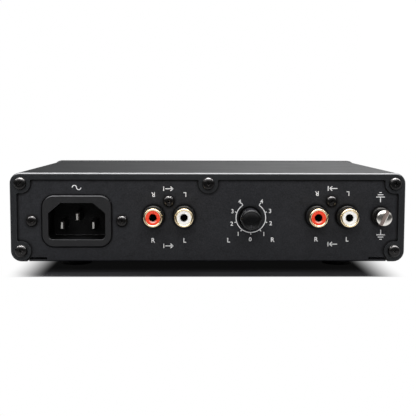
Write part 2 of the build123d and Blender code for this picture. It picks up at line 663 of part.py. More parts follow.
# ---------------------------------------------------------------- phono sockets
def make_jack_housing(middle):
    """Moulded block on the board, with a collar through the wall for each socket."""
    y_span = (WALL_BACK, JACK_BACK)
    housing = block(about(middle, HOUSING_WIDTH), y_span, (BOARD_TOP, JACK_Z + HOUSING_CROWN))
    ear_width, ear_rise = HOUSING_EAR
    screw_z = JACK_Z + JACK_SCREW_RISE
    housing += block(about(middle, ear_width), y_span, (JACK_Z, screw_z + ear_rise))
    housing = chamfer(ends_of(housing, Axis.Y, last=True), HOUSING_EDGE)
    for side in (-1, 1):
        x = middle + side * JACK_PITCH / 2
        collar = rod(x, JACK_Z, JACK_COLLAR, JACK_COLLAR_FACE, WALL_BACK)
        housing += fillet(ends_of(collar, Axis.Y), JACK_COLLAR_EDGE)
        housing -= rod(x, JACK_Z, SHELL_SEAT + 2 * FIT, JACK_COLLAR_FACE, JACK_BACK)
    housing -= rod(middle, screw_z, tapped_for(M26), WALL_BACK, JACK_BACK)
    return housing


def make_shell(x):
    """Plated outer contact: a turned tube with a shoulder against the collar."""
    shell = rod(x, JACK_Z, SHELL_DIAMETER, JACK_MOUTH, JACK_COLLAR_FACE)
    shell = chamfer(ends_of(shell, Axis.Y), SHELL_EDGE)
    shell += rod(x, JACK_Z, SHELL_SEAT, JACK_COLLAR_FACE, JACK_BACK)
    shell -= rod(x, JACK_Z, SHELL_BORE, JACK_MOUTH, JACK_BACK)
    mouth = [edge for edge in ends_of(shell, Axis.Y) if edge.radius < SHELL_DIAMETER / 2 - SHELL_EDGE - FIT]
    return chamfer(mouth, SHELL_EDGE)


def contact_front():
    """Front end of the inner contacts, behind the insulators' narrow bore."""
    return JACK_MOUTH + INSULATOR_RECESS + INSULATOR_FRONT


def make_insulator(x):
    """Coloured insulator inside the shell, with the plug pin's bore."""
    front = JACK_MOUTH + INSULATOR_RECESS
    insulator = rod(x, JACK_Z, SHELL_BORE - 2 * FIT, front, JACK_BACK)
    insulator -= rod(x, JACK_Z, INSULATOR_BORE, front, contact_front())
    seat = CONTACT_BORE + 2 * CONTACT_WALL + 2 * FIT
    insulator -= rod(x, JACK_Z, seat, contact_front(), JACK_BACK)
    mouth = [edge for edge in ends_of(insulator, Axis.Y) if edge.radius < INSULATOR_BORE]
    return chamfer(mouth, INSULATOR_BORE_EDGE)


def make_contacts(middle):
    """Sleeves with two leaves that grip a plug's pin, and tails down to the board."""
    contacts = []
    outer = CONTACT_BORE + 2 * CONTACT_WALL
    tail_width, tail_thickness = CONTACT_TAIL
    back = JACK_BACK + 2 * tail_thickness
    for side in (-1, 1):
        x = middle + side * JACK_PITCH / 2
        tube = rod(x, JACK_Z, outer, contact_front(), back)
        tail_y = (back - tail_thickness, back)
        tube += block(about(x, tail_width), tail_y, (BOARD_TOP, JACK_Z))
        tube -= rod(x, JACK_Z, CONTACT_BORE, contact_front(), back)
        leaf_width, leaf_length = CONTACT_LEAF
        leaf_y = (contact_front(), contact_front() + leaf_length)
        for leaf_side in (-1, 1):
            leaf_depth = (outer - CONTACT_WALL - CONTACT_GRIP) / 2
            leaf_x = about(x + leaf_side * (CONTACT_GRIP + leaf_depth) / 2, leaf_depth)
            tube += block(leaf_x, leaf_y, about(JACK_Z, leaf_width))
        contacts.append(tube)
    return contacts


# ---------------------------------------------------------------- balance control
def make_pot():
    """Rotary control on the board, with its bushing in the rear wall."""
    y_span = (POT_FRONT, POT_FRONT + POT_SIZE[1])
    pot = block(about(BALANCE_X, POT_SIZE[0]), y_span, (BOARD_TOP, BALANCE_Z + POT_CROWN))
    pot += rod(BALANCE_X, BALANCE_Z, BUSHING_DIAMETER, WALL_FACE, POT_FRONT)
    return pot - rod(BALANCE_X, BALANCE_Z, SHAFT_DIAMETER + 2 * FIT, WALL_FACE, POT_FRONT + SHAFT_SEAT)


def flat_cut(diameter, y_from, y_to):
    """Shaft outline with a flat on top, between two places along Y."""
    outline = Circle(diameter / 2)
    flat = Pos(0, SHAFT_DIAMETER - SHAFT_FLAT + diameter / 2 - SHAFT_DIAMETER / 2)
    outline -= flat * Rectangle(2 * diameter, SHAFT_DIAMETER)
    return across(y_from, y_to, Pos(BALANCE_X, BALANCE_Z) * outline)


def make_shaft():
    """Shaft of the control, flatted where the knob sits."""
    shaft = rod(BALANCE_X, BALANCE_Z, SHAFT_DIAMETER, WALL_FACE - KNOB_GAP, POT_FRONT + SHAFT_SEAT - FIT)
    return shaft + flat_cut(SHAFT_DIAMETER, KNOB_FACE + KNOB_CAP, WALL_FACE - KNOB_GAP)


def make_knob():
    """Plain round knob with a dished face and a small dimple that shows the setting."""
    knob = rod(BALANCE_X, BALANCE_Z, KNOB_DIAMETER, KNOB_FACE, WALL_FACE - KNOB_GAP)
    knob = fillet(ends_of(knob, Axis.Y), KNOB_RIM)
    knob -= flat_cut(SHAFT_DIAMETER + 2 * FIT, KNOB_FACE + KNOB_CAP, WALL_FACE - KNOB_GAP)
    half = KNOB_DISH_DIAMETER / 2
    dish_radius = (half**2 + KNOB_DISH_DEPTH**2) / (2 * KNOB_DISH_DEPTH)
    dish = Pos(BALANCE_X, KNOB_FACE + KNOB_DISH_DEPTH - dish_radius, BALANCE_Z) * Sphere(dish_radius)
    mark_z = BALANCE_Z - KNOB_MARK_RADIUS
    mark = rod(BALANCE_X, mark_z, KNOB_MARK_DIAMETER, KNOB_FACE, KNOB_FACE + 2 * KNOB_DISH_DEPTH)
    return knob - dish - mark


# ---------------------------------------------------------------- ground terminal
def make_ground_collar():
    """Dark collar between the wall and the washer."""
    collar = rod(GROUND_X, GROUND_Z, GROUND_COLLAR, GROUND_COLLAR_FACE, WALL_FACE)
    collar = chamfer(ends_of(collar, Axis.Y), GROUND_COLLAR_EDGE)
    return collar - rod(GROUND_X, GROUND_Z, GROUND_THREAD + 2 * FIT, GROUND_COLLAR_FACE, WALL_FACE)


def make_ground_insert():
    """Threaded insert, its spigot riveted into the rear wall."""
    insert = rod(GROUND_X, GROUND_Z, GROUND_SPIGOT, WALL_FACE, WALL_BACK)
    insert += rod(GROUND_X, GROUND_Z, GROUND_INSERT, WALL_BACK, GROUND_INSERT_BACK)
    return insert - rod(GROUND_X, GROUND_Z, GROUND_THREAD + 2 * FIT, WALL_FACE, GROUND_INSERT_BACK)


def make_ground_washer():
    """Captive washer that rides on the screw."""
    y_span = (GROUND_WASHER_BACK - GROUND_WASHER_THICKNESS, GROUND_WASHER_BACK)
    washer = rod(GROUND_X, GROUND_Z, GROUND_WASHER, *y_span)
    return washer - rod(GROUND_X, GROUND_Z, GROUND_THREAD + 2 * FIT, *y_span)


def make_ground_screw():
    """Knurled thumb screw with a driver slot."""
    outline = Pos(0, 0) * Circle(GROUND_HEAD / 2)
    notch = Rectangle(KNURL_DEPTH * math.sqrt(2), KNURL_DEPTH * math.sqrt(2), 45)
    for index in range(KNURL_COUNT):
        angle = 360 / KNURL_COUNT * index
        outline -= Rot(Z=angle) * (Pos(GROUND_HEAD / 2, 0) * notch)
    knurl_front = GROUND_FACE + GROUND_HEAD_EDGE * 2
    screw = across(knurl_front, GROUND_HEAD_BACK, Pos(GROUND_X, GROUND_Z) * outline)
    crown_width = GROUND_HEAD - 2 * KNURL_DEPTH
    crown = rod(GROUND_X, GROUND_Z, crown_width, GROUND_FACE, knurl_front)
    screw += fillet(ends_of(crown, Axis.Y), GROUND_HEAD_EDGE)
    shank_end = GROUND_INSERT_BACK + GROUND_PITCH
    screw += rod(GROUND_X, GROUND_Z, GROUND_THREAD, GROUND_HEAD_BACK, shank_end)
    slot_width, slot_depth = GROUND_SLOT
    slot = Rectangle(2 * GROUND_HEAD, slot_width, GROUND_SLOT_ANGLE)
    screw -= across(GROUND_FACE, GROUND_FACE + slot_depth, Pos(GROUND_X, GROUND_Z) * slot)
    return screw


def make_ring(bore):
    """Crimped ring terminal, lying on the X-Y plane with its barrel towards +Y."""
    ring = Circle(RING_WIDTH / 2) + Pos(0, RING_WIDTH / 2) * Rectangle(RING_WIDTH / 2, RING_WIDTH / 2)
    ring -= Circle(bore / 2 + FIT)
    return extrude(ring, RING_THICKNESS)


def make_ground_nut():
    """Nut that clamps the ground lead's ring on the insert."""
    nut = hex_bar(GROUND_NUT_WIDTH, NUT_HEIGHT) - post(0, 0, GROUND_INSERT + 2 * FIT, 0, NUT_HEIGHT)
    seat = WALL_BACK + RING_THICKNESS + NUT_HEIGHT
    return Pos(GROUND_X, seat, GROUND_Z) * Rot(X=90) * nut


def make_ground_lead():
    """Ring on the insert, and the lead from it down to the board."""
    ring = Rot(X=90) * Rot(Z=180) * make_ring(GROUND_INSERT)
    ring = Pos(GROUND_X, WALL_BACK + RING_THICKNESS, GROUND_Z) * ring
    start_y = WALL_BACK + RING_THICKNESS + SIGNAL_LEAD / 2
    start_z = GROUND_Z - RING_WIDTH * 0.6
    board_x = MAIN_BOARD_X[1] - BOARD_SIDE_GAP
    board_y = JACK_BACK + GROUND_RUN
    route = [
        (GROUND_X, start_y, start_z),
        (GROUND_X, start_y, start_z - GROUND_RUN),
        (GROUND_X, start_y + 2 * GROUND_RUN, start_z - 2 * GROUND_RUN),
        (board_x, board_y, BOARD_TOP + 2 * GROUND_RUN),
        (board_x, board_y, BOARD_TOP),
    ]
    return [ring, lead(route, Circle(SIGNAL_LEAD / 2))]


# ---------------------------------------------------------------- power button and lamp
def make_button():
    """Pill-shaped button with a rim that stops behind the panel."""
    width, height = BUTTON_SIZE
    middle = Pos(BUTTON_X, CASE_MID)
    pill = middle * SlotOverall(width, height)
    button = across(PANEL_BACK - GROUND_PLAY, FRONT_FACE + BUTTON_PROUD, pill)
    button = fillet(ends_of(button, Axis.Y, last=True), BUTTON_EDGE)
    rim = middle * RectangleRounded(width + 2 * BUTTON_FLANGE, height + 2 * BUTTON_FLANGE, height / 4)
    rim_back = PANEL_BACK - GROUND_PLAY - BUTTON_FLANGE_THICKNESS
    return button + across(rim_back, PANEL_BACK - GROUND_PLAY, rim)


def switch_face():
    """Front of the switch's body."""
    return FRONT_WALL - SPACER_HEIGHT + SWITCH_SIZE[1]


def make_plunger():
    """Switch plunger that the button pushes."""
    rim_back = PANEL_BACK - GROUND_PLAY - BUTTON_FLANGE_THICKNESS
    return rod(BUTTON_X, CASE_MID, PLUNGER_DIAMETER, switch_face() - BUTTON_TRAVEL, rim_back)


def make_switch():
    """Push switch on the front board."""
    width, depth = SWITCH_SIZE
    back = FRONT_WALL - SPACER_HEIGHT
    body = block(about(BUTTON_X, width), (back, back + depth), about(CASE_MID, width))
    bore_diameter = PLUNGER_DIAMETER + 2 * PLUNGER_GAP
    bore = rod(BUTTON_X, CASE_MID, bore_diameter, back + SWITCH_FLOOR, back + depth)
    return body - bore


def make_lamp():
    """Round lamp in the panel, on two legs from the front board."""
    lamp = rod(LAMP_X, CASE_MID, LAMP_DIAMETER, PANEL_BACK, PANEL_BACK + LAMP_LENGTH)
    lamp = fillet(ends_of(lamp, Axis.Y, last=True), LAMP_DIAMETER / 2.2)
    lamp += rod(LAMP_X, CASE_MID, LAMP_FLANGE, FRONT_WALL, PANEL_BACK)
    back = FRONT_WALL - SPACER_HEIGHT
    for side in (-1, 1):
        leg_x = LAMP_X + side * LAMP_LEG_PITCH / 2
        lamp += block(about(leg_x, LAMP_LEG), (back, FRONT_WALL), about(CASE_MID, LAMP_LEG))
    return lamp


def make_front_board():
    """Small upright board behind the front wall, with the ribbon's header on its back."""
    y_span = (FRONT_BOARD_Y, FRONT_BOARD_Y + BOARD_THICKNESS)
    board = block(about(FRONT_BOARD_X, FRONT_BOARD_WIDTH), y_span, about(CASE_MID, FRONT_BOARD_HEIGHT))
    for x, z in FRONT_SPACER_PLACES:
        board -= rod(x, z, hole_for(M3), *y_span)
    return board


# ---------------------------------------------------------------- boards
def make_spacers():
    """Clinched hexagon spacers under the boards and behind the front wall."""
    spacer = hex_bar(SPACER_WIDTH, SPACER_HEIGHT) + post(0, 0, SPACER_SPIGOT, -CHASSIS_SHEET, 0)
    spacer -= post(0, 0, tapped_for(M3), -CHASSIS_SHEET, SPACER_HEIGHT)
    spacers = [Pos(x, y, BASE_TOP) * spacer for x, y in BOARD_SCREW_PLACES]
    upright = Rot(X=90) * spacer
    return spacers + [Pos(x, FRONT_WALL, z) * upright for x, z in FRONT_SPACER_PLACES]


def make_board_screws():
    """Screws that hold the three boards to their spacers."""
    screw = pan_screw(M3, BOARD_SCREW_LENGTH)
    screws = [Pos(x, y, BOARD_TOP) * screw for x, y in BOARD_SCREW_PLACES]
    return screws + rear_screws(FRONT_SPACER_PLACES, M3, BOARD_SCREW_LENGTH, FRONT_BOARD_Y)


def make_board(x_span, y_span):
    """Circuit board with its screw holes."""
    board = block(x_span, y_span, (BOARD_BOTTOM, BOARD_TOP))
    for x, y in BOARD_SCREW_PLACES:
        board -= post(x, y, hole_for(M3), BOARD_BOTTOM, BOARD_TOP)
    return board


def chip_places():
    """Two rows of chips behind the input pair, and one column behind the output pair."""
    xs = [JACK_XS["input"] + side * CHIP_SPREAD for side in (-1, 1)]
    xs.append(JACK_XS["output"] + OUTPUT_CHIP_SHIFT)
    return [(x, WALL_BACK + row) for x in xs for row in CHIP_ROWS]


def make_chips():
    """Dual in-line amplifier chips, each on eight legs."""
    chips = []
    width, length, height = CHIP_SIZE
    leg_width, leg_reach = CHIP_LEG
    for x, y in chip_places():
        body_z = (BOARD_TOP + CHIP_LIFT, BOARD_TOP + CHIP_LIFT + height)
        chip = block(about(x, width), about(y, length), body_z)
        for row in range(4):
            leg_y = about(y + (row - 1.5) * CHIP_LEG_PITCH, leg_width)
            for side in (-1, 1):
                outer = x + side * (width / 2 + leg_reach)
                leg_x = sorted((outer, outer - side * leg_reach))
                chip += block(leg_x, leg_y, (BOARD_TOP, sum(body_z) / 2))
        chips.append(chip)
    return chips


def make_film_capacitors():
    """Rows of small film capacitors for the equalisation network."""
    length, width, height = FILM_SIZE
    capacitors = []
    for row in range(FILM_ROWS):
        for column in range(FILM_COLUMNS):
            x = BALANCE_X + (column - (FILM_COLUMNS - 1) / 2) * FILM_PITCH[0]
            y = WALL_BACK + FILM_FIRST_ROW + row * FILM_PITCH[1]
            body = block(about(x, width), about(y, length), (BOARD_TOP, BOARD_TOP + height))
            capacitors.append(fillet(ends_of(body, Axis.Z, last=True), width / 6))
    return capacitors


def make_can(x, y, diameter, height):
    """Electrolytic capacitor, with the groove rolled in near its foot."""
    can = post(x, y, diameter, BOARD_TOP, BOARD_TOP + height)
    can = fillet(ends_of(can, Axis.Z, last=True), CAN_EDGE)
    groove_z = [BOARD_TOP + rise for rise in CAN_GROOVE]
    ring = post(x, y, diameter, *groove_z) - post(x, y, diameter - 2 * CAN_EDGE, *groove_z)
    return can - ring


def can_places():
    """Four cans behind the output pair and two behind the input pair."""
    places = [
        (JACK_XS["output"] + shift, WALL_BACK + row) for shift in OUTPUT_CAN_SHIFTS for row in CAN_ROWS
    ]
    xs = [JACK_XS["input"] + side * CHIP_SPREAD for side in (-1, 1)]
    return places + [(x, WALL_BACK + CAN_ROWS[1]) for x in xs]


def make_bulk_capacitor():
    """Large reservoir capacitor of the supply."""
    return make_can(*on_supply_board(BULK_INSET), BULK_DIAMETER, BULK_HEIGHT)


def make_transformer():
    """Ferrite core round a taped bobbin: two solids."""
    x, y = on_supply_board(TRANSFORMER_INSET)
    width, depth, height = CORE_SIZE
    core_z = (BOARD_TOP + CORE_LIFT, BOARD_TOP + CORE_LIFT + height)
    core = block(about(x, width), about(y, depth), core_z)
    window_z = (core_z[0] + CORE_LIMB, core_z[1] - CORE_LIMB)
    core -= block(about(x, width - 2 * CORE_LIMB), about(y, depth), window_z)
    bobbin_x, bobbin_y = BOBBIN_SIZE
    inner_z = (window_z[0] + FIT, window_z[1] - FIT)
    bobbin = block(about(x, bobbin_x), about(y, bobbin_y), inner_z)
    bobbin = fillet(bobbin.edges().filter_by(Axis.Z), BOBBIN_EDGE)
    for side in (-1, 1):
        foot_y = about(y + side * (depth / 2 + FIT + BOBBIN_FOOT / 2), BOBBIN_FOOT)
        foot_x = bobbin_x - 2 * BOBBIN_EDGE
        bobbin += block(about(x, foot_x), foot_y, (BOARD_TOP, window_z[0] + BOBBIN_FOOT))
    return [core, bobbin]


def make_fuse():
    """Glass fuse between its two clips."""
    x, y = on_supply_board(FUSE_INSET)
    z = BOARD_TOP + FUSE_LIFT
    along = Rot(Y=90)
    glass_radius = FUSE_DIAMETER / 2 - FUSE_GLASS_STEP
    glass = Pos(x, y, z) * along * Cylinder(glass_radius, FUSE_LENGTH - 2 * FUSE_CAP)
    pieces = [glass]
    for side in (-1, 1):
        cap_x = x + side * (FUSE_LENGTH - FUSE_CAP) / 2
        cap = Pos(cap_x, y, z) * along * Cylinder(FUSE_DIAMETER / 2, FUSE_CAP)
        clip_x = about(cap_x, FUSE_CAP - 2 * FUSE_CLIP_RIM)
        cap += block(clip_x, about(y, FUSE_DIAMETER + 2 * FUSE_CLIP_RIM), (BOARD_TOP, z))
        pieces.append(cap)
    return pieces


def header(place, ways, pitch):
    """Upright connector shell on a board."""
    x, y = place
    width = ways * pitch + 2 * HEADER_WALL
    return block(about(x, width), about(y, HEADER_DEPTH), (BOARD_TOP, BOARD_TOP + HEADER_HEIGHT))


def make_connectors():
    """Plugged headers of the mains, supply and ribbon leads."""
    return [
        header(MAINS_HEADER, 2, 2 * HEADER_PIN_PITCH),
        header(SUPPLY_HEADER, 3, HEADER_PIN_PITCH),
        header(MAIN_HEADER, 3, HEADER_PIN_PITCH),
        header(RIBBON_HEADER, 4, HEADER_PIN_PITCH),
    ]


# ---------------------------------------------------------------- leads
def make_mains_leads():
    """Line and neutral from the inlet's tabs to the supply board."""
    leads = []
    header_x, header_y = MAINS_HEADER
    loop_z = HEADER_TOP + LEAD_LOOP
    for side, name in ((-1, "neutral"), (1, "line")):
        x, z = pin_places()[name]
        y = INLET_BACK + TAB_LENGTH
        end_x = header_x + side * HEADER_PIN_PITCH
        route = [
            (x, y, z),
            (x, y + LEAD_RUN, z),
            ((x + end_x) / 2, (y + LEAD_RUN + header_y) / 2, loop_z),
            (end_x, header_y, loop_z),
            (end_x, header_y, HEADER_TOP),
        ]
        leads.append(lead(route, Circle(MAINS_LEAD / 2)))
    return leads


def make_earth_lead():
    """Earth lead from the inlet to its ring on the chassis stud."""
    x, z = pin_places()["earth"]
    stud_x, stud_y = EARTH_STUD
    y = INLET_BACK + TAB_LENGTH
    ring = Pos(stud_x, stud_y, BASE_TOP) * Rot(Z=90) * make_ring(GROUND_THREAD)
    ring_z = BASE_TOP + RING_THICKNESS + EARTH_LEAD / 2
    barrel_x = stud_x - RING_WIDTH * 0.7
    route = [
        (x, y, z),
        (x, y + EARTH_RUN, z),
        (x + EARTH_LEAD, y + 2 * EARTH_RUN, (z + ring_z) / 2),
        (barrel_x - 1.5 * EARTH_RUN, stud_y + EARTH_LEAD, ring_z + EARTH_LEAD),
        (barrel_x, stud_y, ring_z),
    ]
    return [ring, lead(route, Circle(EARTH_LEAD / 2))]


def make_earth_stud():
    """Stud pressed into the base, and the nut on the earth ring."""
    x, y = EARTH_STUD
    stud = post(x, y, GROUND_THREAD, CASE_BOTTOM, BASE_TOP + EARTH_STUD_HEIGHT)
    nut = hex_bar(EARTH_NUT_WIDTH, NUT_HEIGHT) - post(0, 0, GROUND_THREAD + 2 * FIT, 0, NUT_HEIGHT)
    return [stud, Pos(x, y, BASE_TOP + RING_THICKNESS) * nut]


def make_supply_leads():
    """Three leads from the supply board to the main board."""
    leads = []
    supply_x, supply_y = SUPPLY_HEADER
    main_x, main_y = MAIN_HEADER
    top_z = HEADER_TOP + 1.3 * LEAD_LOOP
    for index in (-1, 0, 1):
        offset = index * HEADER_PIN_PITCH
        route = [
            (supply_x + offset, supply_y, HEADER_TOP),
            (supply_x + offset, supply_y, HEADER_TOP + LEAD_LOOP),
            ((supply_x + main_x) / 2 + offset, (supply_y + main_y) / 2, top_z),
            (main_x + offset, main_y, HEADER_TOP + LEAD_LOOP),
            (main_x + offset, main_y, HEADER_TOP),
        ]
        leads.append(lead(route, Circle(SIGNAL_LEAD / 2)))
    return leads


def make_ribbon():
    """Flat ribbon from the front board to the main board."""
    x, y = RIBBON_HEADER
    loop_z = max(CASE_MID, HEADER_TOP) + RIBBON_RUN
    route = [
        (x, FRONT_BOARD_Y, loop_z),
        (x, FRONT_BOARD_Y - RIBBON_RUN, loop_z),
        (x, y + RIBBON_RUN, loop_z + RIBBON_SECTION[1]),
        (x, y, HEADER_TOP + RIBBON_RUN),
        (x, y, HEADER_TOP),
    ]
    path = FilletPolyline(*route, radius=bend_radii(route))
    start = Plane(origin=route[0], x_dir=(1, 0, 0), z_dir=(0, -1, 0))
    return sweep(start * Rectangle(*RIBBON_SECTION), path=path)


# ---------------------------------------------------------------- the nodes
def make_nodes():
    """Every node by name, each one solid or a list of solids."""
    nodes = {
        "top_cover": make_top_cover(),
        "base_chassis": make_base_chassis(),
        "front_panel": make_front_panel(),
        "cover_screws": rear_screws(COVER_SCREW_PLACES, M3, COVER_SCREW_LENGTH, REAR_FACE),
        "front_panel_screws": rear_screws(PANEL_SCREW_PLACES, M3, PANEL_SCREW_DEPTH, FRONT_WALL),
        "foot_screws": make_foot_screws(),
        "inlet_body": make_inlet_body(),
        "inlet_nuts": make_inlet_nuts(),
        "balance_pot": make_pot(),
        "balance_shaft": make_shaft(),
        "balance_knob": make_knob(),
        "ground_collar": make_ground_collar(),
        "ground_insert": make_ground_insert(),
        "ground_washer": make_ground_washer(),
        "ground_screw": make_ground_screw(),
        "ground_nut": make_ground_nut(),
        "ground_lead": make_ground_lead(),
        "power_button": make_button(),
        "switch_plunger": make_plunger(),
        "switch_body": make_switch(),
        "power_lamp": make_lamp(),
        "front_board": make_front_board(),
        "main_board": make_board(MAIN_BOARD_X, MAIN_BOARD_Y),
        "supply_board": make_board(SUPPLY_BOARD_X, SUPPLY_BOARD_Y),
        "board_spacers": make_spacers(),
        "board_screws": make_board_screws(),
        "amplifier_chips": make_chips(),
        "film_capacitors": make_film_capacitors(),
        "can_capacitors": [make_can(x, y, CAN_DIAMETER, CAN_HEIGHT) for x, y in can_places()],
        "bulk_capacitor": make_bulk_capacitor(),
        "supply_transformer": make_transformer(),
        "mains_fuse": make_fuse(),
        "lead_connectors": make_connectors(),
        "mains_leads": make_mains_leads(),
        "earth_lead": make_earth_lead(),
        "earth_stud": make_earth_stud(),
        "supply_leads": make_supply_leads(),
        "front_ribbon": make_ribbon(),
    }
    inlet_places = [(x, INLET_Z) for x in INLET_SCREW_XS]
    nodes["inlet_screws"] = rear_screws(inlet_places, M26, SMALL_SCREW_LENGTH, WALL_FACE)
    for name in pin_places():
        nodes[f"inlet_{name}_pin"] = make_inlet_pin(name)
    for name, (x, y) in FOOT_PLACES.items():
        nodes[f"foot_{name}"] = make_foot(x, y)
    for name, middle in JACK_XS.items():
        nodes[f"{name}_jack_housing"] = make_jack_housing(middle)
        nodes[f"{name}_contacts"] = make_contacts(middle)
        screw_place = [(middle, JACK_Z + JACK_SCREW_RISE)]
        nodes[f"{name}_jack_screw"] = rear_screws(screw_place, M26, SMALL_SCREW_LENGTH, WALL_FACE)
        for side, channel in ((-1, "right"), (1, "left")):
            x = middle + side * JACK_PITCH / 2
            nodes[f"{name}_shell_{channel}"] = make_shell(x)
            nodes[f"{name}_insulator_{channel}"] = make_insulator(x)
    return nodes


if __name__ == "__main__":
    os.makedirs("parts", exist_ok=True)
    for name, shape in make_nodes().items():
        solids = shape if isinstance(shape, list) else [shape]
        export_step(Compound(children=solids, label=name), f"parts/{name}.step")
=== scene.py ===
# %% [markdown]
# # A phono preamp, dressed for its portrait
#
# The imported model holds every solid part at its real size. This lesson loads it, gives each part the
# finish of the real thing, and models the small turned, knurled, cross-headed and printed pieces that
# catch the light. Lengths are in metres, so most numbers are a few `MM`.

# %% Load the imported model
import json
import math

import bpy
from mathutils import Matrix, Vector


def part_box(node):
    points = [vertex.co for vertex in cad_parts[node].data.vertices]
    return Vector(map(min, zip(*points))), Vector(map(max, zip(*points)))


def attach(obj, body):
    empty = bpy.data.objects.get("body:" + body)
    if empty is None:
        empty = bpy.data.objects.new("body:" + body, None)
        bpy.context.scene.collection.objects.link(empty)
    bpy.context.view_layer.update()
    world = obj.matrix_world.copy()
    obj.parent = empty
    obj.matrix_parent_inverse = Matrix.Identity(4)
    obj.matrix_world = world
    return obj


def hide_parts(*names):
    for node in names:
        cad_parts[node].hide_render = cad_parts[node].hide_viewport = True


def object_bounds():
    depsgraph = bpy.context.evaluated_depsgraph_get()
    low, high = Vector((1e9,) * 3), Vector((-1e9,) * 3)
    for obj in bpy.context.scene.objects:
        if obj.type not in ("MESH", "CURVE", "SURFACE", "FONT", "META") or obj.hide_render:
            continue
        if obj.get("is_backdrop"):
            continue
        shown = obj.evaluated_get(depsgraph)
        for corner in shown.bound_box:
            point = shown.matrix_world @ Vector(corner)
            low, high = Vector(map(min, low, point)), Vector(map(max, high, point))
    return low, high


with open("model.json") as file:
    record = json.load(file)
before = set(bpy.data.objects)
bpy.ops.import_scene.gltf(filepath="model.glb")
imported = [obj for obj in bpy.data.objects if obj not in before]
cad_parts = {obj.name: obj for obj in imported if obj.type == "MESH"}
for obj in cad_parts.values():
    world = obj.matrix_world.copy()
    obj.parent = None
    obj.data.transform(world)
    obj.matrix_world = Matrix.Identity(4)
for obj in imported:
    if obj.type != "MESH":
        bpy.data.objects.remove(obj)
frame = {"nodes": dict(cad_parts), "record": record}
cad_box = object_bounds()
MM = 0.001
for plain_material in list(bpy.data.materials):
    bpy.data.materials.remove(plain_material)

# %% [markdown]
# ## The camera
#
# The picture is taken from a little above, nearly square on to the rear wall. The lens is a short
# telephoto, so the top runs back in a shallow wedge. The camera first rolls about its own axis, then it is
# tipped up from straight down, then it is turned about the vertical.

# %% Camera
CAMERA_PLACE = Vector((-6.38, -447.93, 65.25)) * MM
CAMERA_PITCH = 0.0936  # below the horizon, in radians
CAMERA_YAW = 0.0163
CAMERA_ROLL = 0.0023
FOCAL_LENGTH = 75.33  # on a 36 mm frame

bpy.ops.object.camera_add()
camera = bpy.context.object
camera.name = "portrait_camera"
camera.data.lens = FOCAL_LENGTH
camera.data.clip_start = 10 * MM
camera.matrix_world = (
    Matrix.Translation(CAMERA_PLACE)
    @ Matrix.Rotation(-CAMERA_YAW, 4, "Z")
    @ Matrix.Rotation(math.pi / 2 - CAMERA_PITCH, 4, "X")
    @ Matrix.Rotation(CAMERA_ROLL, 4, "Z")
)
bpy.context.scene.camera = camera
bpy.context.scene.view_settings.view_transform = "Standard"
print("camera at", [round(c / MM, 1) for c in camera.location])

# %% [markdown]
# ## Node trees
#
# The floor, the world and the finishes are all node trees, so the steps that they share come first.

# %% Helpers for node trees


def feed(tree, value, socket):
    """Give a socket a plain value, or a link from another socket."""
    if isinstance(value, bpy.types.NodeSocket):
        tree.links.new(value, socket)
    else:
        socket.default_value = value


def math_node(tree, operation, first, second):
    """Math node fed by sockets or plain numbers; gives its output socket."""
    node = tree.nodes.new("ShaderNodeMath")
    node.operation = operation
    feed(tree, first, node.inputs[0])
    feed(tree, second, node.inputs[1])
    return node.outputs[0]


def vector_step(tree, operation, first, second=None):
    """Vector Math node fed by a socket and, where it takes two, a plain vector."""
    node = tree.nodes.new("ShaderNodeVectorMath")
    node.operation = operation
    tree.links.new(first, node.inputs[0])
    if second is not None:
        node.inputs[1].default_value = second
    return node.outputs["Vector"]


def ramp(tree, value, span, start, end):
    """Map a value that runs over a span to start..end, smoothly and clamped."""
    node = tree.nodes.new("ShaderNodeMapRange")
    node.interpolation_type = "SMOOTHSTEP"
    for label, number in zip(("From Min", "From Max", "To Min", "To Max"), (*span, start, end)):
        node.inputs[label].default_value = number
    tree.links.new(value, node.inputs["Value"])
    return node.outputs["Result"]


def axes_of(tree, vector):
    """X, Y and Z sockets of a vector socket."""
    node = tree.nodes.new("ShaderNodeSeparateXYZ")
    tree.links.new(vector, node.inputs[0])
    return node.outputs


def surface_normal(tree):
    """Normal of the surface, as it is without bumps."""
    return tree.nodes.new("ShaderNodeNewGeometry").outputs["Normal"]


def camera_rays(tree):
    """1 for the rays that come straight from the camera."""
    return tree.nodes.new("ShaderNodeLightPath").outputs["Is Camera Ray"]


def seen_rays(tree):
    """1 for the rays that see the sweep: from the camera, and off or through a shiny part."""
    path = tree.nodes.new("ShaderNodeLightPath").outputs
    shiny = math_node(tree, "MAXIMUM", path["Is Glossy Ray"], path["Is Transmission Ray"])
    return math_node(tree, "MAXIMUM", path["Is Camera Ray"], shiny)


def cleared(owner, output_kind):
    """Emptied node tree of a material or a world, and a new output node in it."""
    owner.use_nodes = True
    owner.node_tree.nodes.clear()
    return owner.node_tree, owner.node_tree.nodes.new(output_kind)


def mix(tree, kind, factor, first, second):
    """First value where the factor is 0, second where it is 1; the kind is FLOAT or RGBA."""
    node = tree.nodes.new("ShaderNodeMix")
    node.data_type = kind
    for label, value in (("Factor", factor), ("A", first), ("B", second)):
        feed(tree, value, node.inputs[label])
    return node.outputs["Result"]


def mix_shaders(tree, factor, first, second):
    """First shader node where the factor is 0, second where it is 1."""
    node = tree.nodes.new("ShaderNodeMixShader")
    tree.links.new(factor, node.inputs["Fac"])
    tree.links.new(first.outputs[0], node.inputs[1])
    tree.links.new(second.outputs[0], node.inputs[2])
    return node.outputs[0]


# %% [markdown]
# ## Floor, backdrop and light
#
# A product shot stands on a white sweep. Close to the case the floor is a plain pale diffuse surface, so it
# takes the shadow. A little further out it turns pure white, but only for the rays that the camera and
# the shiny parts send out, with the Light Path node, so the white lights nothing else.

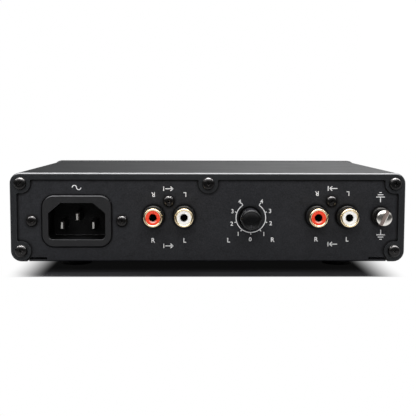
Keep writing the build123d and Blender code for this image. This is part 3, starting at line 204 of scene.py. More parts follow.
# %% Floor
CASE_HALF = Vector((0.0879, 0.0675, 0.0))
CASE_CENTRE = Vector((-0.0012, 0.0045, 0.0))
# at the sides the white begins 18 mm in under the case, so it lies over the ends of its shadow: painted light
FADE_BESIDE = (-0.018, 0.001)  # the floor turns white over this span, counted outward from the case's sides
FADE_BEHIND = (0.0092, 0.0116)  # and over this one, counted from its front and rear
HAZE = 0.004  # share of white that lies even over the deepest shadow

bpy.ops.mesh.primitive_plane_add(size=6)
floor = bpy.context.object
floor.name = "floor"
sweep = bpy.data.materials.new("white_sweep")
floor.data.materials.append(sweep)
tree, output = cleared(sweep, "ShaderNodeOutputMaterial")
place = tree.nodes.new("ShaderNodeTexCoord").outputs["Object"]
place = vector_step(tree, "ABSOLUTE", vector_step(tree, "SUBTRACT", place, CASE_CENTRE))
outside = axes_of(tree, vector_step(tree, "SUBTRACT", place, CASE_HALF))
along_x = ramp(tree, outside["X"], FADE_BESIDE, 0.0, 1.0)
along_y = ramp(tree, outside["Y"], FADE_BEHIND, HAZE, 1.0)
share = math_node(tree, "MULTIPLY", math_node(tree, "MAXIMUM", along_x, along_y), seen_rays(tree))
print("all white from", FADE_BEHIND[1], "m outside the case")

# %% [markdown]
# Close under and beside the case hardly any light comes back up. Ambient occlusion finds how much of the
# sky a point of the floor sees, and the floor's colour is darkened by it. Shiny parts see a floor that
# ends in the dark a little in front of the object.

# %% Shadow on the floor, and the floor that shiny parts see
FLOOR_COLOUR = (0.86, 0.86, 0.87, 1)
FLOOR_SHADE = (0.02, 0.02, 0.022, 1)
SKY_REACH = 0.05  # how far the floor looks for something standing over it
SKY_SEEN = (0.62, 0.98)  # share of the sky at which it is darkest, and at which it is plain
TABLE_FADE = (0.03, 0.12)  # shiny parts see the floor darken over this span
TABLE_DARK = 0.08

open_sky = tree.nodes.new("ShaderNodeAmbientOcclusion")
open_sky.samples = 24
open_sky.inputs["Distance"].default_value = SKY_REACH
openness = ramp(tree, open_sky.outputs["AO"], SKY_SEEN, 0.0, 1.0)
paper = tree.nodes.new("ShaderNodeBsdfDiffuse")
tree.links.new(mix(tree, "RGBA", openness, FLOOR_SHADE, FLOOR_COLOUR), paper.inputs["Color"])
white = tree.nodes.new("ShaderNodeEmission")
table = ramp(tree, outside["Y"], TABLE_FADE, 1.0, TABLE_DARK)
tree.links.new(math_node(tree, "MAXIMUM", camera_rays(tree), table), white.inputs["Strength"])
tree.links.new(mix_shaders(tree, share, paper, white), output.inputs["Surface"])
floor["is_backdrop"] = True
print("floor looks for shade within", SKY_REACH, "m")

# %% [markdown]
# The world is white for the camera as well. Shiny parts see a room in it: in front it is dark at eye level
# and bright above, and behind stands the sweep, which gets brighter from left to right. All else is lit by
# a soft grey.

# %% World
AMBIENT = 0.15
ROOM_LOW = 0.06
ROOM_HIGH = 0.9
SWEEP_LEFT = 0.0
SWEEP_RIGHT = 1.05
# each span is of one part of a ray's direction
ROOM_RISE = (0.12, 0.45)
SWEEP_SPAN = (-0.25, 0.25)
FRONT_TO_BACK = (-0.3, 0.5)

world = bpy.data.worlds.new("studio")
bpy.context.scene.world = world
tree, output = cleared(world, "ShaderNodeOutputWorld")
ray = axes_of(tree, tree.nodes.new("ShaderNodeTexCoord").outputs["Generated"])
room = ramp(tree, ray["Z"], ROOM_RISE, ROOM_LOW, ROOM_HIGH)
backdrop = ramp(tree, ray["X"], SWEEP_SPAN, SWEEP_LEFT, SWEEP_RIGHT)
behind = ramp(tree, ray["Y"], FRONT_TO_BACK, 0.0, 1.0)
seen = tree.nodes.new("ShaderNodeBackground")
unseen = tree.nodes.new("ShaderNodeBackground")
for light in (seen, unseen):
    light.inputs["Color"].default_value = (1, 1, 1, 1)
direct = math_node(tree, "MAXIMUM", camera_rays(tree), mix(tree, "FLOAT", behind, room, backdrop))
tree.links.new(direct, seen.inputs["Strength"])
unseen.inputs["Strength"].default_value = AMBIENT
tree.links.new(mix_shaders(tree, seen_rays(tree), unseen, seen), output.inputs["Surface"])
print("ambient light", AMBIENT)

# %% [markdown]
# Three soft lamps. A square softbox overhead lights the crescents on the screw heads and the lips of the
# sockets. A long narrow strip, a little nearer to the camera, sharpens the bright line along the fold of
# the cover. A broad panel, behind the camera and above it, gives the rear wall, the red and the white
# their plain level.

# %% Lamps


def soft_lamp(name, place, target, size, watts):
    """Rectangular area lamp at a place, turned to a target."""
    bpy.ops.object.light_add(type="AREA", location=place)
    lamp = bpy.context.object
    lamp.name = name
    lamp.data.shape = "RECTANGLE"
    lamp.data.size, lamp.data.size_y = size
    lamp.data.energy = watts
    lamp.rotation_euler = (Vector(target) - Vector(place)).to_track_quat("-Z", "Y").to_euler()
    return lamp


MIDDLE = (0, 0, 0.025)
lamps = [
    soft_lamp("overhead_softbox", (0.0, 0.0, 0.72), MIDDLE, (0.5, 0.5), 3.0),
    soft_lamp("overhead_strip", (0.0, -0.11, 0.70), MIDDLE, (2.4, 0.08), 6.0),
    soft_lamp("front_panel_lamp", (-0.1, -1.0, 0.75), MIDDLE, (1.2, 0.7), 9.0),
]
print("lamps:", [lamp.name for lamp in lamps])

# %% [markdown]
# ## Effects that several finishes share
#
# Paint, plastic and plating all have a grain, edges that wear first, and a little dust on top; painted
# highlights and painted shade are laid over some of them. Each of these is one node group with named
# inputs, built once and placed in every material with its own values. A group only puts out masks and
# heights: the Principled shader stays in the material.

# %% Helpers for groups


def new_group(name, inputs, outputs):
    """Empty node group with float sockets: inputs as {name: default}, outputs as names."""
    group = bpy.data.node_groups.new(name, "ShaderNodeTree")
    for label, default in inputs.items():
        socket = group.interface.new_socket(name=label, in_out="INPUT", socket_type="NodeSocketFloat")
        socket.default_value = default
    for label in outputs:
        group.interface.new_socket(name=label, in_out="OUTPUT", socket_type="NodeSocketFloat")
    entry = group.nodes.new("NodeGroupInput")
    leave = group.nodes.new("NodeGroupOutput")
    return group, entry, leave


def noise(group, scale, detail):
    """Noise on Object coordinates; scale is a socket or a number per metre."""
    coordinates = group.nodes.new("ShaderNodeTexCoord")
    texture = group.nodes.new("ShaderNodeTexNoise")
    texture.inputs["Detail"].default_value = detail
    group.links.new(coordinates.outputs["Object"], texture.inputs["Vector"])
    feed(group, scale, texture.inputs["Scale"])
    return texture.outputs["Fac"]


# %% [markdown]
# **Grain.** Powder coat and spark-eroded moulds have a fine pebbled skin. Two noises of different size
# are enough: the fine one is the pebble, the coarse one keeps it from looking even.

# %% Grain group
COARSE_SCALE = 0.12  # the coarse noise has this share of the fine one's bumps per metre
COARSE_SHARE = 0.35
MEAN_HEIGHT = 0.67

grain, entry, leave = new_group("pebble_grain", {"Per Metre": 2500.0, "Contrast": 0.5}, ["Height", "Tone"])
fine = noise(grain, entry.outputs["Per Metre"], 2.0)
coarse = noise(grain, math_node(grain, "MULTIPLY", entry.outputs["Per Metre"], COARSE_SCALE), 3.0)
height = math_node(grain, "MULTIPLY_ADD", coarse, COARSE_SHARE)
grain.links.new(fine, height.node.inputs[2])
swing = math_node(grain, "SUBTRACT", height, MEAN_HEIGHT)
swing = math_node(grain, "MULTIPLY", swing, entry.outputs["Contrast"])
grain.links.new(height, leave.inputs["Height"])
grain.links.new(math_node(grain, "ADD", swing, 1.0), leave.inputs["Tone"])
print("group", grain.name)

# %% [markdown]
# ** Worn and highlighted edges.** A Bevel node gives the normal that a rounded edge would have. Where it
# differs from the real normal there is an edge, and the difference is the mask. A noise breaks it up,
# because no edge wears evenly. `Upward` keeps the mask to edges that face up, towards the lamps overhead;
# there the lighter colour is a painted highlight as well as wear.

# %% Worn and highlighted edge group
EDGE_GAIN = 6.0
PATCHES_PER_METRE = 900.0
PATCH_GAIN = 1.6
# with `Upward`, a normal within about 45 degrees of upright gets the full painted highlight
UP_GAIN = 1.45  # a normal within about 45 degrees of upright wears fully
UP_POWER = 3.0

edges, entry, leave = new_group("worn_and_highlighted_edges", {"Reach": 0.4 * MM, "Amount": 0.5, "Upward": 0.0}, ["Mask"])
rounded = edges.nodes.new("ShaderNodeBevel")
rounded.samples = 6
edges.links.new(entry.outputs["Reach"], rounded.inputs["Radius"])
agree = edges.nodes.new("ShaderNodeVectorMath")
agree.operation = "DOT_PRODUCT"
edges.links.new(rounded.outputs["Normal"], agree.inputs[0])
edges.links.new(surface_normal(edges), agree.inputs[1])
differ = math_node(edges, "SUBTRACT", 1.0, agree.outputs["Value"])
differ = math_node(edges, "MULTIPLY", differ, EDGE_GAIN)
broken = math_node(edges, "MULTIPLY", noise(edges, PATCHES_PER_METRE, 3.0), PATCH_GAIN)
differ = math_node(edges, "MULTIPLY", differ, broken)
differ = math_node(edges, "MULTIPLY", differ, entry.outputs["Amount"])
lean = axes_of(edges, rounded.outputs["Normal"])["Z"]
top_edge = math_node(edges, "MULTIPLY", math_node(edges, "MAXIMUM", lean, 0.0), UP_GAIN)
top_edge = math_node(edges, "POWER", math_node(edges, "MINIMUM", top_edge, 1.0), UP_POWER)
spare = math_node(edges, "MULTIPLY", math_node(edges, "SUBTRACT", 1.0, top_edge), entry.outputs["Upward"])
differ = math_node(edges, "MULTIPLY", differ, math_node(edges, "SUBTRACT", 1.0, spare))
wear_and_edge_highlight = math_node(edges, "MINIMUM", differ, 1.0)
edges.links.new(wear_and_edge_highlight, leave.inputs["Mask"])
print("group", edges.name)

# %% [markdown]
# ** Painted highlight.** The long fold of the sleeve is a real round, so the mask above doesn't find it.
# Its normal does: the mask is how nearly it points along a chosen direction, by default half up and half
# to the rear, and the lighter colour laid there is a painted highlight, the lamps' bright line on the fold.
# Pointed nearly straight up, the same mask paints the crescents on the screw heads and light on the knob.
# Pointed to the rear, it paints highlights on the tips of the mains pins and on the rim of the front panel.

# %% Painted highlight group
bend, entry, leave = new_group(
    "facing_highlight_mask", {"Outward": 0.62, "Upward": 0.785, "Tightness": 0.93}, ["Mask"]
)
facing = axes_of(bend, surface_normal(bend))
upward = math_node(bend, "MULTIPLY", facing["Z"], entry.outputs["Upward"])
outward = math_node(bend, "MULTIPLY", facing["Y"], entry.outputs["Outward"])
toward = math_node(bend, "SUBTRACT", upward, outward)
above = math_node(bend, "SUBTRACT", toward, entry.outputs["Tightness"])
above = math_node(bend, "DIVIDE", above, math_node(bend, "SUBTRACT", 1.0, entry.outputs["Tightness"]))
bend.links.new(math_node(bend, "MINIMUM", math_node(bend, "MAXIMUM", above, 0.0), 1.0), leave.inputs["Mask"])
print("group", bend.name)

# %% [markdown]
# ** Crevices.** A recess gets little light. Ambient occlusion finds how much of the sky a point sees within
# a short reach, and the colour is darkened by it: painted shade.

# %% Painted crevice shade group
CREVICE_GAIN = 2.6

crevice, entry, leave = new_group("crevice_shade", {"Reach": 1.2 * MM, "Depth": 0.8}, ["Tone"])
sky = crevice.nodes.new("ShaderNodeAmbientOcclusion")
sky.samples = 8
crevice.links.new(entry.outputs["Reach"], sky.inputs["Distance"])
hidden = math_node(crevice, "SUBTRACT", 1.0, sky.outputs["AO"])
hidden = math_node(crevice, "MINIMUM", math_node(crevice, "MULTIPLY", hidden, CREVICE_GAIN), 1.0)
hidden = math_node(crevice, "MULTIPLY", hidden, entry.outputs["Depth"])
crevice.links.new(math_node(crevice, "SUBTRACT", 1.0, hidden), leave.inputs["Tone"])
print("group", crevice.name)

# %% [markdown]
# **Dust** lies only on what faces up. The mask is the normal's Z, raised so that it falls off fast, times
# a patchy noise. **Smudges** are a coarse noise about zero, which is added to the roughness.

# %% Dust and smudge groups
DUST_FALL = 6.0
DUST_PATCHES = 60.0  # per metre
DUST_SPECKS = 1500.0

dust, entry, leave = new_group("settled_dust", {"Amount": 0.1}, ["Mask"])
facing = axes_of(dust, surface_normal(dust))
upward = math_node(dust, "POWER", math_node(dust, "MAXIMUM", facing["Z"], 0.0), DUST_FALL)
patches = math_node(dust, "MULTIPLY", noise(dust, DUST_PATCHES, 6.0), noise(dust, DUST_SPECKS, 2.0))
mask = math_node(dust, "MULTIPLY", math_node(dust, "MULTIPLY", upward, patches), entry.outputs["Amount"])
dust.links.new(mask, leave.inputs["Mask"])

smudge, entry, leave = new_group("handling_smudges", {"Per Metre": 90.0, "Swing": 0.1}, ["Change"])
patches = math_node(smudge, "SUBTRACT", noise(smudge, entry.outputs["Per Metre"], 4.0), 0.5)
smudge.links.new(math_node(smudge, "MULTIPLY", patches, entry.outputs["Swing"]), leave.inputs["Change"])
print("groups", dust.name, smudge.name)

# %% [markdown]
# ## Building a finish
#
# A finish starts as one Principled shader with plain values. Each effect is then laid over it: the grain
# shades the colour and bumps the surface, wear, painted highlights and dust mix another colour in, painted
# shade darkens it, smudges change how rough it is. `Finish` keeps the last colour and roughness sockets, so
# the effects stack in any order.

# %% Finish class


class Finish:
    """A material under construction, with its effects laid one over another."""

    def __init__(self, name, colour, roughness, metallic=0.0, specular=0.5):
        self.material = bpy.data.materials.new(name)
        self.material.use_nodes = True
        self.tree = self.material.node_tree
        self.shader = self.tree.nodes["Principled BSDF"]
        self.colour = (*colour, 1)
        self.roughness = roughness
        self.height = None
        self.shader.inputs["Base Color"].default_value = self.colour
        self.shader.inputs["Roughness"].default_value = roughness
        self.shader.inputs["Metallic"].default_value = metallic
        self.shader.inputs["Specular IOR Level"].default_value = specular

    def place(self, group, **values):
        """Place a shared group in this material; gives the node."""
        node = self.tree.nodes.new("ShaderNodeGroup")
        node.node_tree = group
        for label, value in values.items():
            node.inputs[label.replace("_", " ")].default_value = value
        return node

    def mix_colour(self, mask, colour):
        """Lay a colour over what is there, where the mask is."""
        self.colour = mix(self.tree, "RGBA", mask, self.colour, (*colour, 1))
        self.tree.links.new(self.colour, self.shader.inputs["Base Color"])
        return self

    def shade(self, tone):
        """Multiply the colour by a value."""
        node = self.tree.nodes.new("ShaderNodeVectorMath")
        node.operation = "SCALE"
        if isinstance(self.colour, tuple):
            node.inputs[0].default_value = self.colour[:3]
        else:
            self.tree.links.new(self.colour, node.inputs[0])
        self.tree.links.new(tone, node.inputs["Scale"])
        self.colour = node.outputs[0]
        self.tree.links.new(self.colour, self.shader.inputs["Base Color"])
        return self

    def roughen(self, change):
        """Add a change to the roughness."""
        self.roughness = math_node(self.tree, "ADD", self.roughness, change)
        self.roughness.node.use_clamp = True
        self.tree.links.new(self.roughness, self.shader.inputs["Roughness"])
        return self

    def bump(self, height, depth):
        """Bump by a height; each call is laid on the last."""
        node = self.tree.nodes.new("ShaderNodeBump")
        node.inputs["Distance"].default_value = depth
        node.inputs["Strength"].default_value = 1.0
        self.tree.links.new(height, node.inputs["Height"])
        if self.height is not None:
            self.tree.links.new(self.height, node.inputs["Normal"])
        self.height = node.outputs["Normal"]
        self.tree.links.new(self.height, self.shader.inputs["Normal"])
        return self

    def grained(self, per_metre, contrast, depth):
        """Pebbled skin: colour and bump from the shared grain."""
        node = self.place(grain, Per_Metre=per_metre, Contrast=contrast)
        self.shade(node.outputs["Tone"])
        return self.bump(node.outputs["Height"], depth)

    def wear_and_edge_highlight(self, reach, amount, colour, upward=0.0):
        """Another colour along edges: wear, and with `upward` a painted highlight on edges that face up."""
        node = self.place(edges, Reach=reach, Amount=amount, Upward=upward)
        return self.mix_colour(node.outputs["Mask"], colour)

    def painted_highlight(self, tightness, colour, **direction):
        """Painted highlight: a lighter colour where the surface points in the group's direction, or in one
        given.
        """
        node = self.place(bend, Tightness=tightness, **direction)
        return self.mix_colour(node.outputs["Mask"], colour)

    def shadowed(self, reach, depth):
        """Painted shade: darker in recesses and along the foot of whatever stands on it."""
        return self.shade(self.place(crevice, Reach=reach, Depth=depth).outputs["Tone"])

    def dusty(self, amount, colour=(0.45, 0.44, 0.42)):
        """Dust on what faces up."""
        return self.mix_colour(self.place(dust, Amount=amount).outputs["Mask"], colour)

    def handled(self, per_metre, swing):
        """Uneven shine from handling."""
        return self.roughen(self.place(smudge, Per_Metre=per_metre, Swing=swing).outputs["Change"])


print("finishes start from one Principled shader each")

# %% [markdown]
# ## Painted and plated finishes
#
# The case is steel with a fine black powder coat. Dark paint is never black: one or two percent of the
# light comes back, and the grain breaks up the shine. The fold of the cover gets a painted highlight, a
# bright line in its colour.

# %% Finishes of the case
finishes = {}


def keep(finish):
    """Store a finish under its material's name."""
    finishes[finish.material.name] = finish.material


# the fold gets a painted highlight, and the edges that face up get one mixed with their wear
keep(
    Finish("case_powder_coat", (0.0125, 0.0135, 0.015), 0.46, specular=0.21)
    .grained(2300.0, 1.3, 0.05 * MM)
    .painted_highlight(0.87, (0.50, 0.50, 0.51))
    .wear_and_edge_highlight(0.5 * MM, 0.3, (0.12, 0.12, 0.13), upward=0.8)
    .dusty(0.06)
    .handled(40.0, 0.10)
)
# the wall is darker along the cover's rim and round what stands on it: painted shade
keep(
    Finish("wall_powder_coat", (0.0175, 0.018, 0.0205), 0.52, specular=0.14)
    .grained(2300.0, 1.5, 0.05 * MM)
    .wear_and_edge_highlight(0.4 * MM, 0.12, (0.07, 0.07, 0.08))
    .shadowed(1.6 * MM, 0.97)
    .dusty(0.08)
)
# the mouldings differ in colour, in the painted highlight along their upper edges and in their wear, which
# is a painted highlight too on edges that face up; recesses and the cavity are darkened as painted shade
MOULDINGS = {
    "moulded_black": ((0.008, 0.008, 0.0085), (0.90, (0.115, 0.11, 0.105)), (1.1, (0.20, 0.195, 0.19))),
    "inlet_black": ((0.0135, 0.0135, 0.0145), (0.84, (0.27, 0.27, 0.28)), (1.2, (0.30, 0.30, 0.31))),
}
for name, (colour, line, wear_and_highlight) in MOULDINGS.items():
    keep(
        Finish(name, colour, 0.5, specular=0.2)
        .grained(3200.0, 1.2, 0.03 * MM)
        .shadowed(9.0 * MM, 1.0)
        .painted_highlight(*line, Outward=0.707, Upward=0.707)
        .wear_and_edge_highlight(0.45 * MM, *wear_and_highlight, upward=1.0)
    )
# the crescent and the glints on edges that face up are painted highlights; the recess is painted shade
keep(
    Finish("black_zinc", (0.022, 0.021, 0.021), 0.22, metallic=0.85)
    .grained(1800.0, 0.6, 0.01 * MM)
    .shadowed(0.9 * MM, 1.0)
    .painted_highlight(0.45, (0.62, 0.60, 0.59), Outward=0.1, Upward=0.995)
    .wear_and_edge_highlight(0.2 * MM, 0.6, (0.34, 0.32, 0.31), upward=0.7)
    .handled(700.0, 0.12)
)
# the knob's faces that point up are painted lighter: painted light on its upper flank and shoulder
keep(
    Finish("knob_satin", (0.0022, 0.0022, 0.0025), 0.2, specular=0.45)
    .grained(4000.0, 0.6, 0.003 * MM)
    .painted_highlight(0.70, (0.035, 0.035, 0.040), Outward=0.0, Upward=1.0)
    .handled(300.0, 0.06)
)
keep(Finish("rubber", (0.018, 0.018, 0.018), 0.75, specular=0.3).grained(1500.0, 0.9, 0.06 * MM).dusty(0.3))
print(sorted(finishes))

# %% Metals and insulators
# colour and roughness, the grain per metre, its contrast and depth in millimetres, and the smudges
METALS = {
    "gold_plate": ((0.97, 0.80, 0.53), 0.15, (1200.0, 0.25, 0.004), (250.0, 0.12)),
    "nickel_plate": ((0.78, 0.75, 0.71), 0.2, (1500.0, 0.35, 0.006), (400.0, 0.15)),
    "tinned_brass": ((0.80, 0.78, 0.74), 0.24, (2000.0, 0.3, 0.01), (500.0, 0.15)),
    "zinc_plate": ((0.62, 0.63, 0.65), 0.34, (900.0, 0.5, 0.01), (300.0, 0.2)),
}
for name, (colour, rough, (per_metre, contrast, depth), smudges) in METALS.items():
    finish = Finish(name, colour, rough, metallic=1.0)
    keep(finish.grained(per_metre, contrast, depth * MM).handled(*smudges))
# a darker copy of the nickel for the thumb screw's body and slot walls: painted shade, with a painted
# highlight on the edges that face up
keep(
    Finish("nickel_painted_shade", (0.05, 0.048, 0.045), 0.3, metallic=1.0)
    .grained(1500.0, 0.5, 0.01 * MM)
    .wear_and_edge_highlight(0.2 * MM, 0.4, (0.30, 0.28, 0.26), upward=1.0)
)
# the pins are dark metal; their tips, which face the rear, get a painted highlight
keep(
    Finish("dark_pin_painted_tip", (0.045, 0.042, 0.04), 0.3, metallic=1.0)
    .painted_highlight(0.93, (0.97, 0.95, 0.91), Outward=1.0, Upward=0.0)
    .grained(2000.0, 0.3, 0.01 * MM)
    .handled(500.0, 0.15)
)
# the faces of the countersink that point up and to the rear are painted pale: a painted highlight
keep(
    Finish("red_insulator", (0.86, 0.06, 0.022), 0.2)
    .painted_highlight(0.78, (1.0, 0.56, 0.48), Outward=0.67, Upward=0.74)
    .grained(2500.0, 0.25, 0.008 * MM)
    .handled(400.0, 0.15)
)
keep(
    Finish("white_insulator", (0.88, 0.87, 0.84), 0.24)
    .grained(2500.0, 0.12, 0.008 * MM)
    .handled(400.0, 0.15)
)
keep(Finish("white_ink", (0.77, 0.77, 0.77), 0.6).grained(6000.0, 0.35, 0.01 * MM))
# black for the deep pin holes of the insulators: painted shade
keep(Finish("pin_hole_painted_shade", (0.002, 0.002, 0.002), 0.7, specular=0.05).grained(2500.0, 0.5, 0.005 * MM))
keep(Finish("knob_dot", (0.022, 0.022, 0.024), 0.5, specular=0.2).grained(5000.0, 0.4, 0.004 * MM))
# black for the ring under the knob: painted shade
keep(Finish("ring_painted_shade", (0.0015, 0.0015, 0.0015), 0.95, specular=0.02).grained(3000.0, 0.8, 0.05 * MM))
# the slot's floor is painted brown-grey: painted shade with a brownish painted reflection
keep(Finish("slot_painted_shade", (0.33, 0.265, 0.245), 0.38, metallic=0.6).grained(2500.0, 0.5, 0.01 * MM))
print(len(finishes), "finishes")

# %% [markdown]
# ## Inside the case
#
# Nobody sees the boards with the lid on, but someone who takes the lid off does. Each part in there gets
# a plain version of its own skin.

# %% Finishes inside, and the front panel
# colour, roughness, metallic, then the grain: per metre, contrast and depth in millimetres
INSIDE = {
    "solder_mask": ((0.015, 0.10, 0.045), 0.35, 0.0, 700.0, 0.9, 0.02),
    "moulded_epoxy": ((0.022, 0.022, 0.024), 0.6, 0.0, 2500.0, 0.8, 0.02),
    "dipped_film": ((0.50, 0.07, 0.045), 0.25, 0.0, 400.0, 0.5, 0.03),
    "printed_sleeve": ((0.018, 0.028, 0.075), 0.3, 0.0, 600.0, 0.5, 0.01),
    "ferrite": ((0.045, 0.045, 0.047), 0.5, 0.1, 1500.0, 1.2, 0.03),
    "fuse_glass": ((0.80, 0.84, 0.84), 0.12, 0.0, 500.0, 0.15, 0.003),
    "natural_nylon": ((0.80, 0.77, 0.68), 0.45, 0.0, 900.0, 0.2, 0.01),
    "brown_insulation": ((0.20, 0.075, 0.035), 0.42, 0.0, 1200.0, 0.4, 0.01),
    "green_yellow_insulation": ((0.10, 0.34, 0.05), 0.42, 0.0, 1200.0, 0.4, 0.01),
    "black_insulation": ((0.02, 0.02, 0.02), 0.42, 0.0, 1200.0, 0.4, 0.01),
    "grey_ribbon": ((0.50, 0.51, 0.53), 0.45, 0.0, 1200.0, 0.3, 0.01),
    "lamp_lens": ((0.72, 0.76, 0.84), 0.18, 0.0, 900.0, 0.15, 0.004),
}
for name, (colour, rough, metal, per_metre, contrast, depth) in INSIDE.items():
    finish = Finish(name, colour, rough, metallic=metal)
    keep(finish.grained(per_metre, contrast, depth * MM).handled(120.0, 0.1))
# faces that point to the rear, the panel's rim, are painted lighter: a painted highlight
keep(
    Finish("black_anodised", (0.028, 0.029, 0.032), 0.38, metallic=0.6)
    .painted_highlight(0.9, (0.20, 0.20, 0.205), Outward=1.0, Upward=0.0)
    .grained(3000.0, 0.6, 0.01 * MM)
    .handled(120.0, 0.1)
)
print(len(finishes), "finishes")

# %% Finish of every part of the frame
SLOT_FINISH = {
    "case_paint": "case_powder_coat",
    "chassis_paint": "wall_powder_coat",
    "front_anodised": "black_anodised",
    "black_screw": "black_zinc",
    "rubber": "rubber",
    "black_moulding": "moulded_black",
    "knob_plastic": "knob_satin",
    "red_insulator": "red_insulator",
    "white_insulator": "white_insulator",
    "gold": "gold_plate",
    "tin": "tinned_brass",
    "nickel": "nickel_plate",
    "zinc": "zinc_plate",
    "lamp": "lamp_lens",
    "board": "solder_mask",
    "chip": "moulded_epoxy",
    "film": "dipped_film",
    "can": "printed_sleeve",
    "ferrite": "ferrite",
    "fuse": "fuse_glass",
    "connector": "natural_nylon",
    "mains_insulation": "brown_insulation",
    "earth_insulation": "green_yellow_insulation",
    "lead_insulation": "black_insulation",
    "ribbon": "grey_ribbon",
}
NODE_FINISH = {f"inlet_{pin}_pin": "dark_pin_painted_tip" for pin in ("line", "neutral", "earth")}
NODE_FINISH["inlet_body"] = "inlet_black"
slot_of = {part["node"]: part["material_slot"] for part in frame["record"]["subparts"]}
for node, part in frame["nodes"].items():
    part.data.materials.clear()
    part.data.materials.append(finishes[NODE_FINISH.get(node, SLOT_FINISH[slot_of[node]])])
print("dressed", len(frame["nodes"]), "parts")

# %% [markdown]
# ## Modelling by hand, in code
#
# Every new piece starts as a primitive and is shaped in edit mode, as it would be with the mouse. An
# operator acts on everything that is selected, so the first helpers only select: a whole piece, or some
# of its vertices or faces, found by their place.

# %% Helpers for selecting


def deselect():
    """Leave edit mode and select nothing."""
    if bpy.context.object and bpy.context.object.mode == "EDIT":
        bpy.ops.object.mode_set(mode="OBJECT")
    bpy.ops.object.select_all(action="DESELECT")


def take(*pieces):
    """Select these pieces only; the first becomes the active one."""
    deselect()
    for piece in pieces:
        piece.select_set(True)
    bpy.context.view_layer.objects.active = pieces[0]
    return pieces[0]


def pick(piece, kind, test):
    """Go into edit mode and select the VERT or FACE parts whose place passes a test."""
    take(piece)
    bpy.ops.object.mode_set(mode="EDIT")
    bpy.ops.mesh.select_mode(type=kind)
    bpy.ops.mesh.select_all(action="DESELECT")
    bpy.ops.object.mode_set(mode="OBJECT")
    for part in piece.data.polygons if kind == "FACE" else piece.data.vertices:
        part.select = test(part.center if kind == "FACE" else part.co)
    bpy.ops.object.mode_set(mode="EDIT")


# %% [markdown]
# Most of what shows on this wall was turned on a lathe, so the next helper is a lathe: a ring that is
# extruded and resized from one radius and height to the next, in millimetres. A solid piece starts as a
# disc and keeps a cap at its other end. A bored one starts as a bare ring, and its last ring is bridged
# to its first. Heights are counted out of the rear wall, and the finished piece is laid over to face
# the rear. Its place then goes into its mesh, so the object itself sits at the origin.

# %% The lathe and the wall
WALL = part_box("base_chassis")[0].y
NEAR = 0.01  # two places closer than this many millimetres are the same


def turned(name, rings, sides=96, bored=False):
    """Turned piece about Z through rings of (radius, height)."""
    deselect()
    radius, height = rings[0]
    fill = "NOTHING" if bored else "NGON"
    bpy.ops.mesh.primitive_circle_add(
        vertices=sides, radius=radius * MM, fill_type=fill, location=(0, 0, height * MM)
    )
    piece = bpy.context.object
    piece.name = name
    bpy.ops.object.transform_apply()
    bpy.ops.object.mode_set(mode="EDIT")
    bpy.ops.mesh.select_mode(type="EDGE" if bored else "FACE")
    bpy.ops.mesh.select_all(action="SELECT")
    for next_radius, next_height in rings[1:]:
        step = (0, 0, (next_height - height) * MM)
        bpy.ops.mesh.extrude_region_move(TRANSFORM_OT_translate={"value": step})
        factor = next_radius / radius
        bpy.ops.transform.resize(value=(factor, factor, 1), center_override=(0, 0, next_height * MM))
        radius, height = next_radius, next_height
    if bored:
        ends = (rings[0], rings[-1])
        pick(piece, "VERT", lambda at: any(
            abs(math.hypot(at.x, at.y) - end[0] * MM) + abs(at.z - end[1] * MM) < NEAR * MM for end in ends
        ))
        bpy.ops.mesh.bridge_edge_loops()
    bpy.ops.mesh.select_all(action="SELECT")
    bpy.ops.mesh.normals_make_consistent()
    bpy.ops.object.mode_set(mode="OBJECT")
    return piece


def face_the_rear(piece, x, z, spin=0.0, out=0.0):
    """Lay a piece over so that its height runs out of the rear wall, at a place on it."""
    take(piece)
    piece.matrix_world = (
        Matrix.Translation((x, WALL - out * MM, z))
        @ Matrix.Rotation(math.pi / 2, 4, "X")
        @ Matrix.Rotation(math.radians(spin), 4, "Z")
    )
    bpy.ops.object.transform_apply()
    return piece


def middle_of(node):
    """X and Z of the middle of a part of the frame."""
    low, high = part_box(node)
    return (low.x + high.x) / 2, (low.z + high.z) / 2


print("rear wall at", round(WALL / MM, 2), "mm")

# %% [markdown]
# Slots and recesses are cut with a Boolean, by a tool that is itself a shaped block. What repeats is made
# once and copied, each copy with its own mesh. `dress` is the last step of every piece: smooth shading
# up to an angle, a finish, the body that it rides on, and the parts of the frame that it stands for.

# %% Helpers for cutting, copying and dressing


def block(name, place, size):
    """Box at a place, both in millimetres."""
    deselect()
    bpy.ops.mesh.primitive_cube_add(size=1, location=Vector(place) * MM, scale=Vector(size) * MM)
    bpy.context.object.name = name
    bpy.ops.object.transform_apply()
    return bpy.context.object


def cut(piece, tool):
    """Cut a tool out of a piece, and remove the tool."""
    take(piece)
    bite = piece.modifiers.new("cut", "BOOLEAN")
    bite.operation = "DIFFERENCE"
    bite.solver = "EXACT"
    bite.object = tool
    bpy.ops.object.modifier_apply(modifier=bite.name)
    bpy.data.objects.remove(tool)


def copy_of(piece, name):
    """Copy of a piece with its own mesh."""
    take(piece)
    bpy.ops.object.duplicate(linked=False)
    bpy.context.object.name = name
    return bpy.context.object


def join(name, pieces):
    """Join pieces into the first one."""
    take(*pieces)
    bpy.ops.object.join()
    bpy.context.object.name = name
    return bpy.context.object


def paint(piece, names, choose):
    """Give a piece several finishes; `choose` gives a face's number among them, by its centre."""
    for name in names:
        piece.data.materials.append(finishes[name])
    for face in piece.data.polygons:
        face.material_index = int(choose(face.center))


def dress(piece, finish, slot, body, *nodes, angle=32):
    """Shade, paint and mount a finished piece."""
    take(piece)
    bpy.ops.object.shade_smooth_by_angle(angle=math.radians(angle))
    if not piece.data.materials:
        piece.data.materials.append(finishes[finish])
    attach(piece, body)
    if nodes:
        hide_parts(*nodes)
    print(f"{piece.name}: {len(piece.data.polygons)} faces, for {nodes or 'nothing else'}")
    return piece


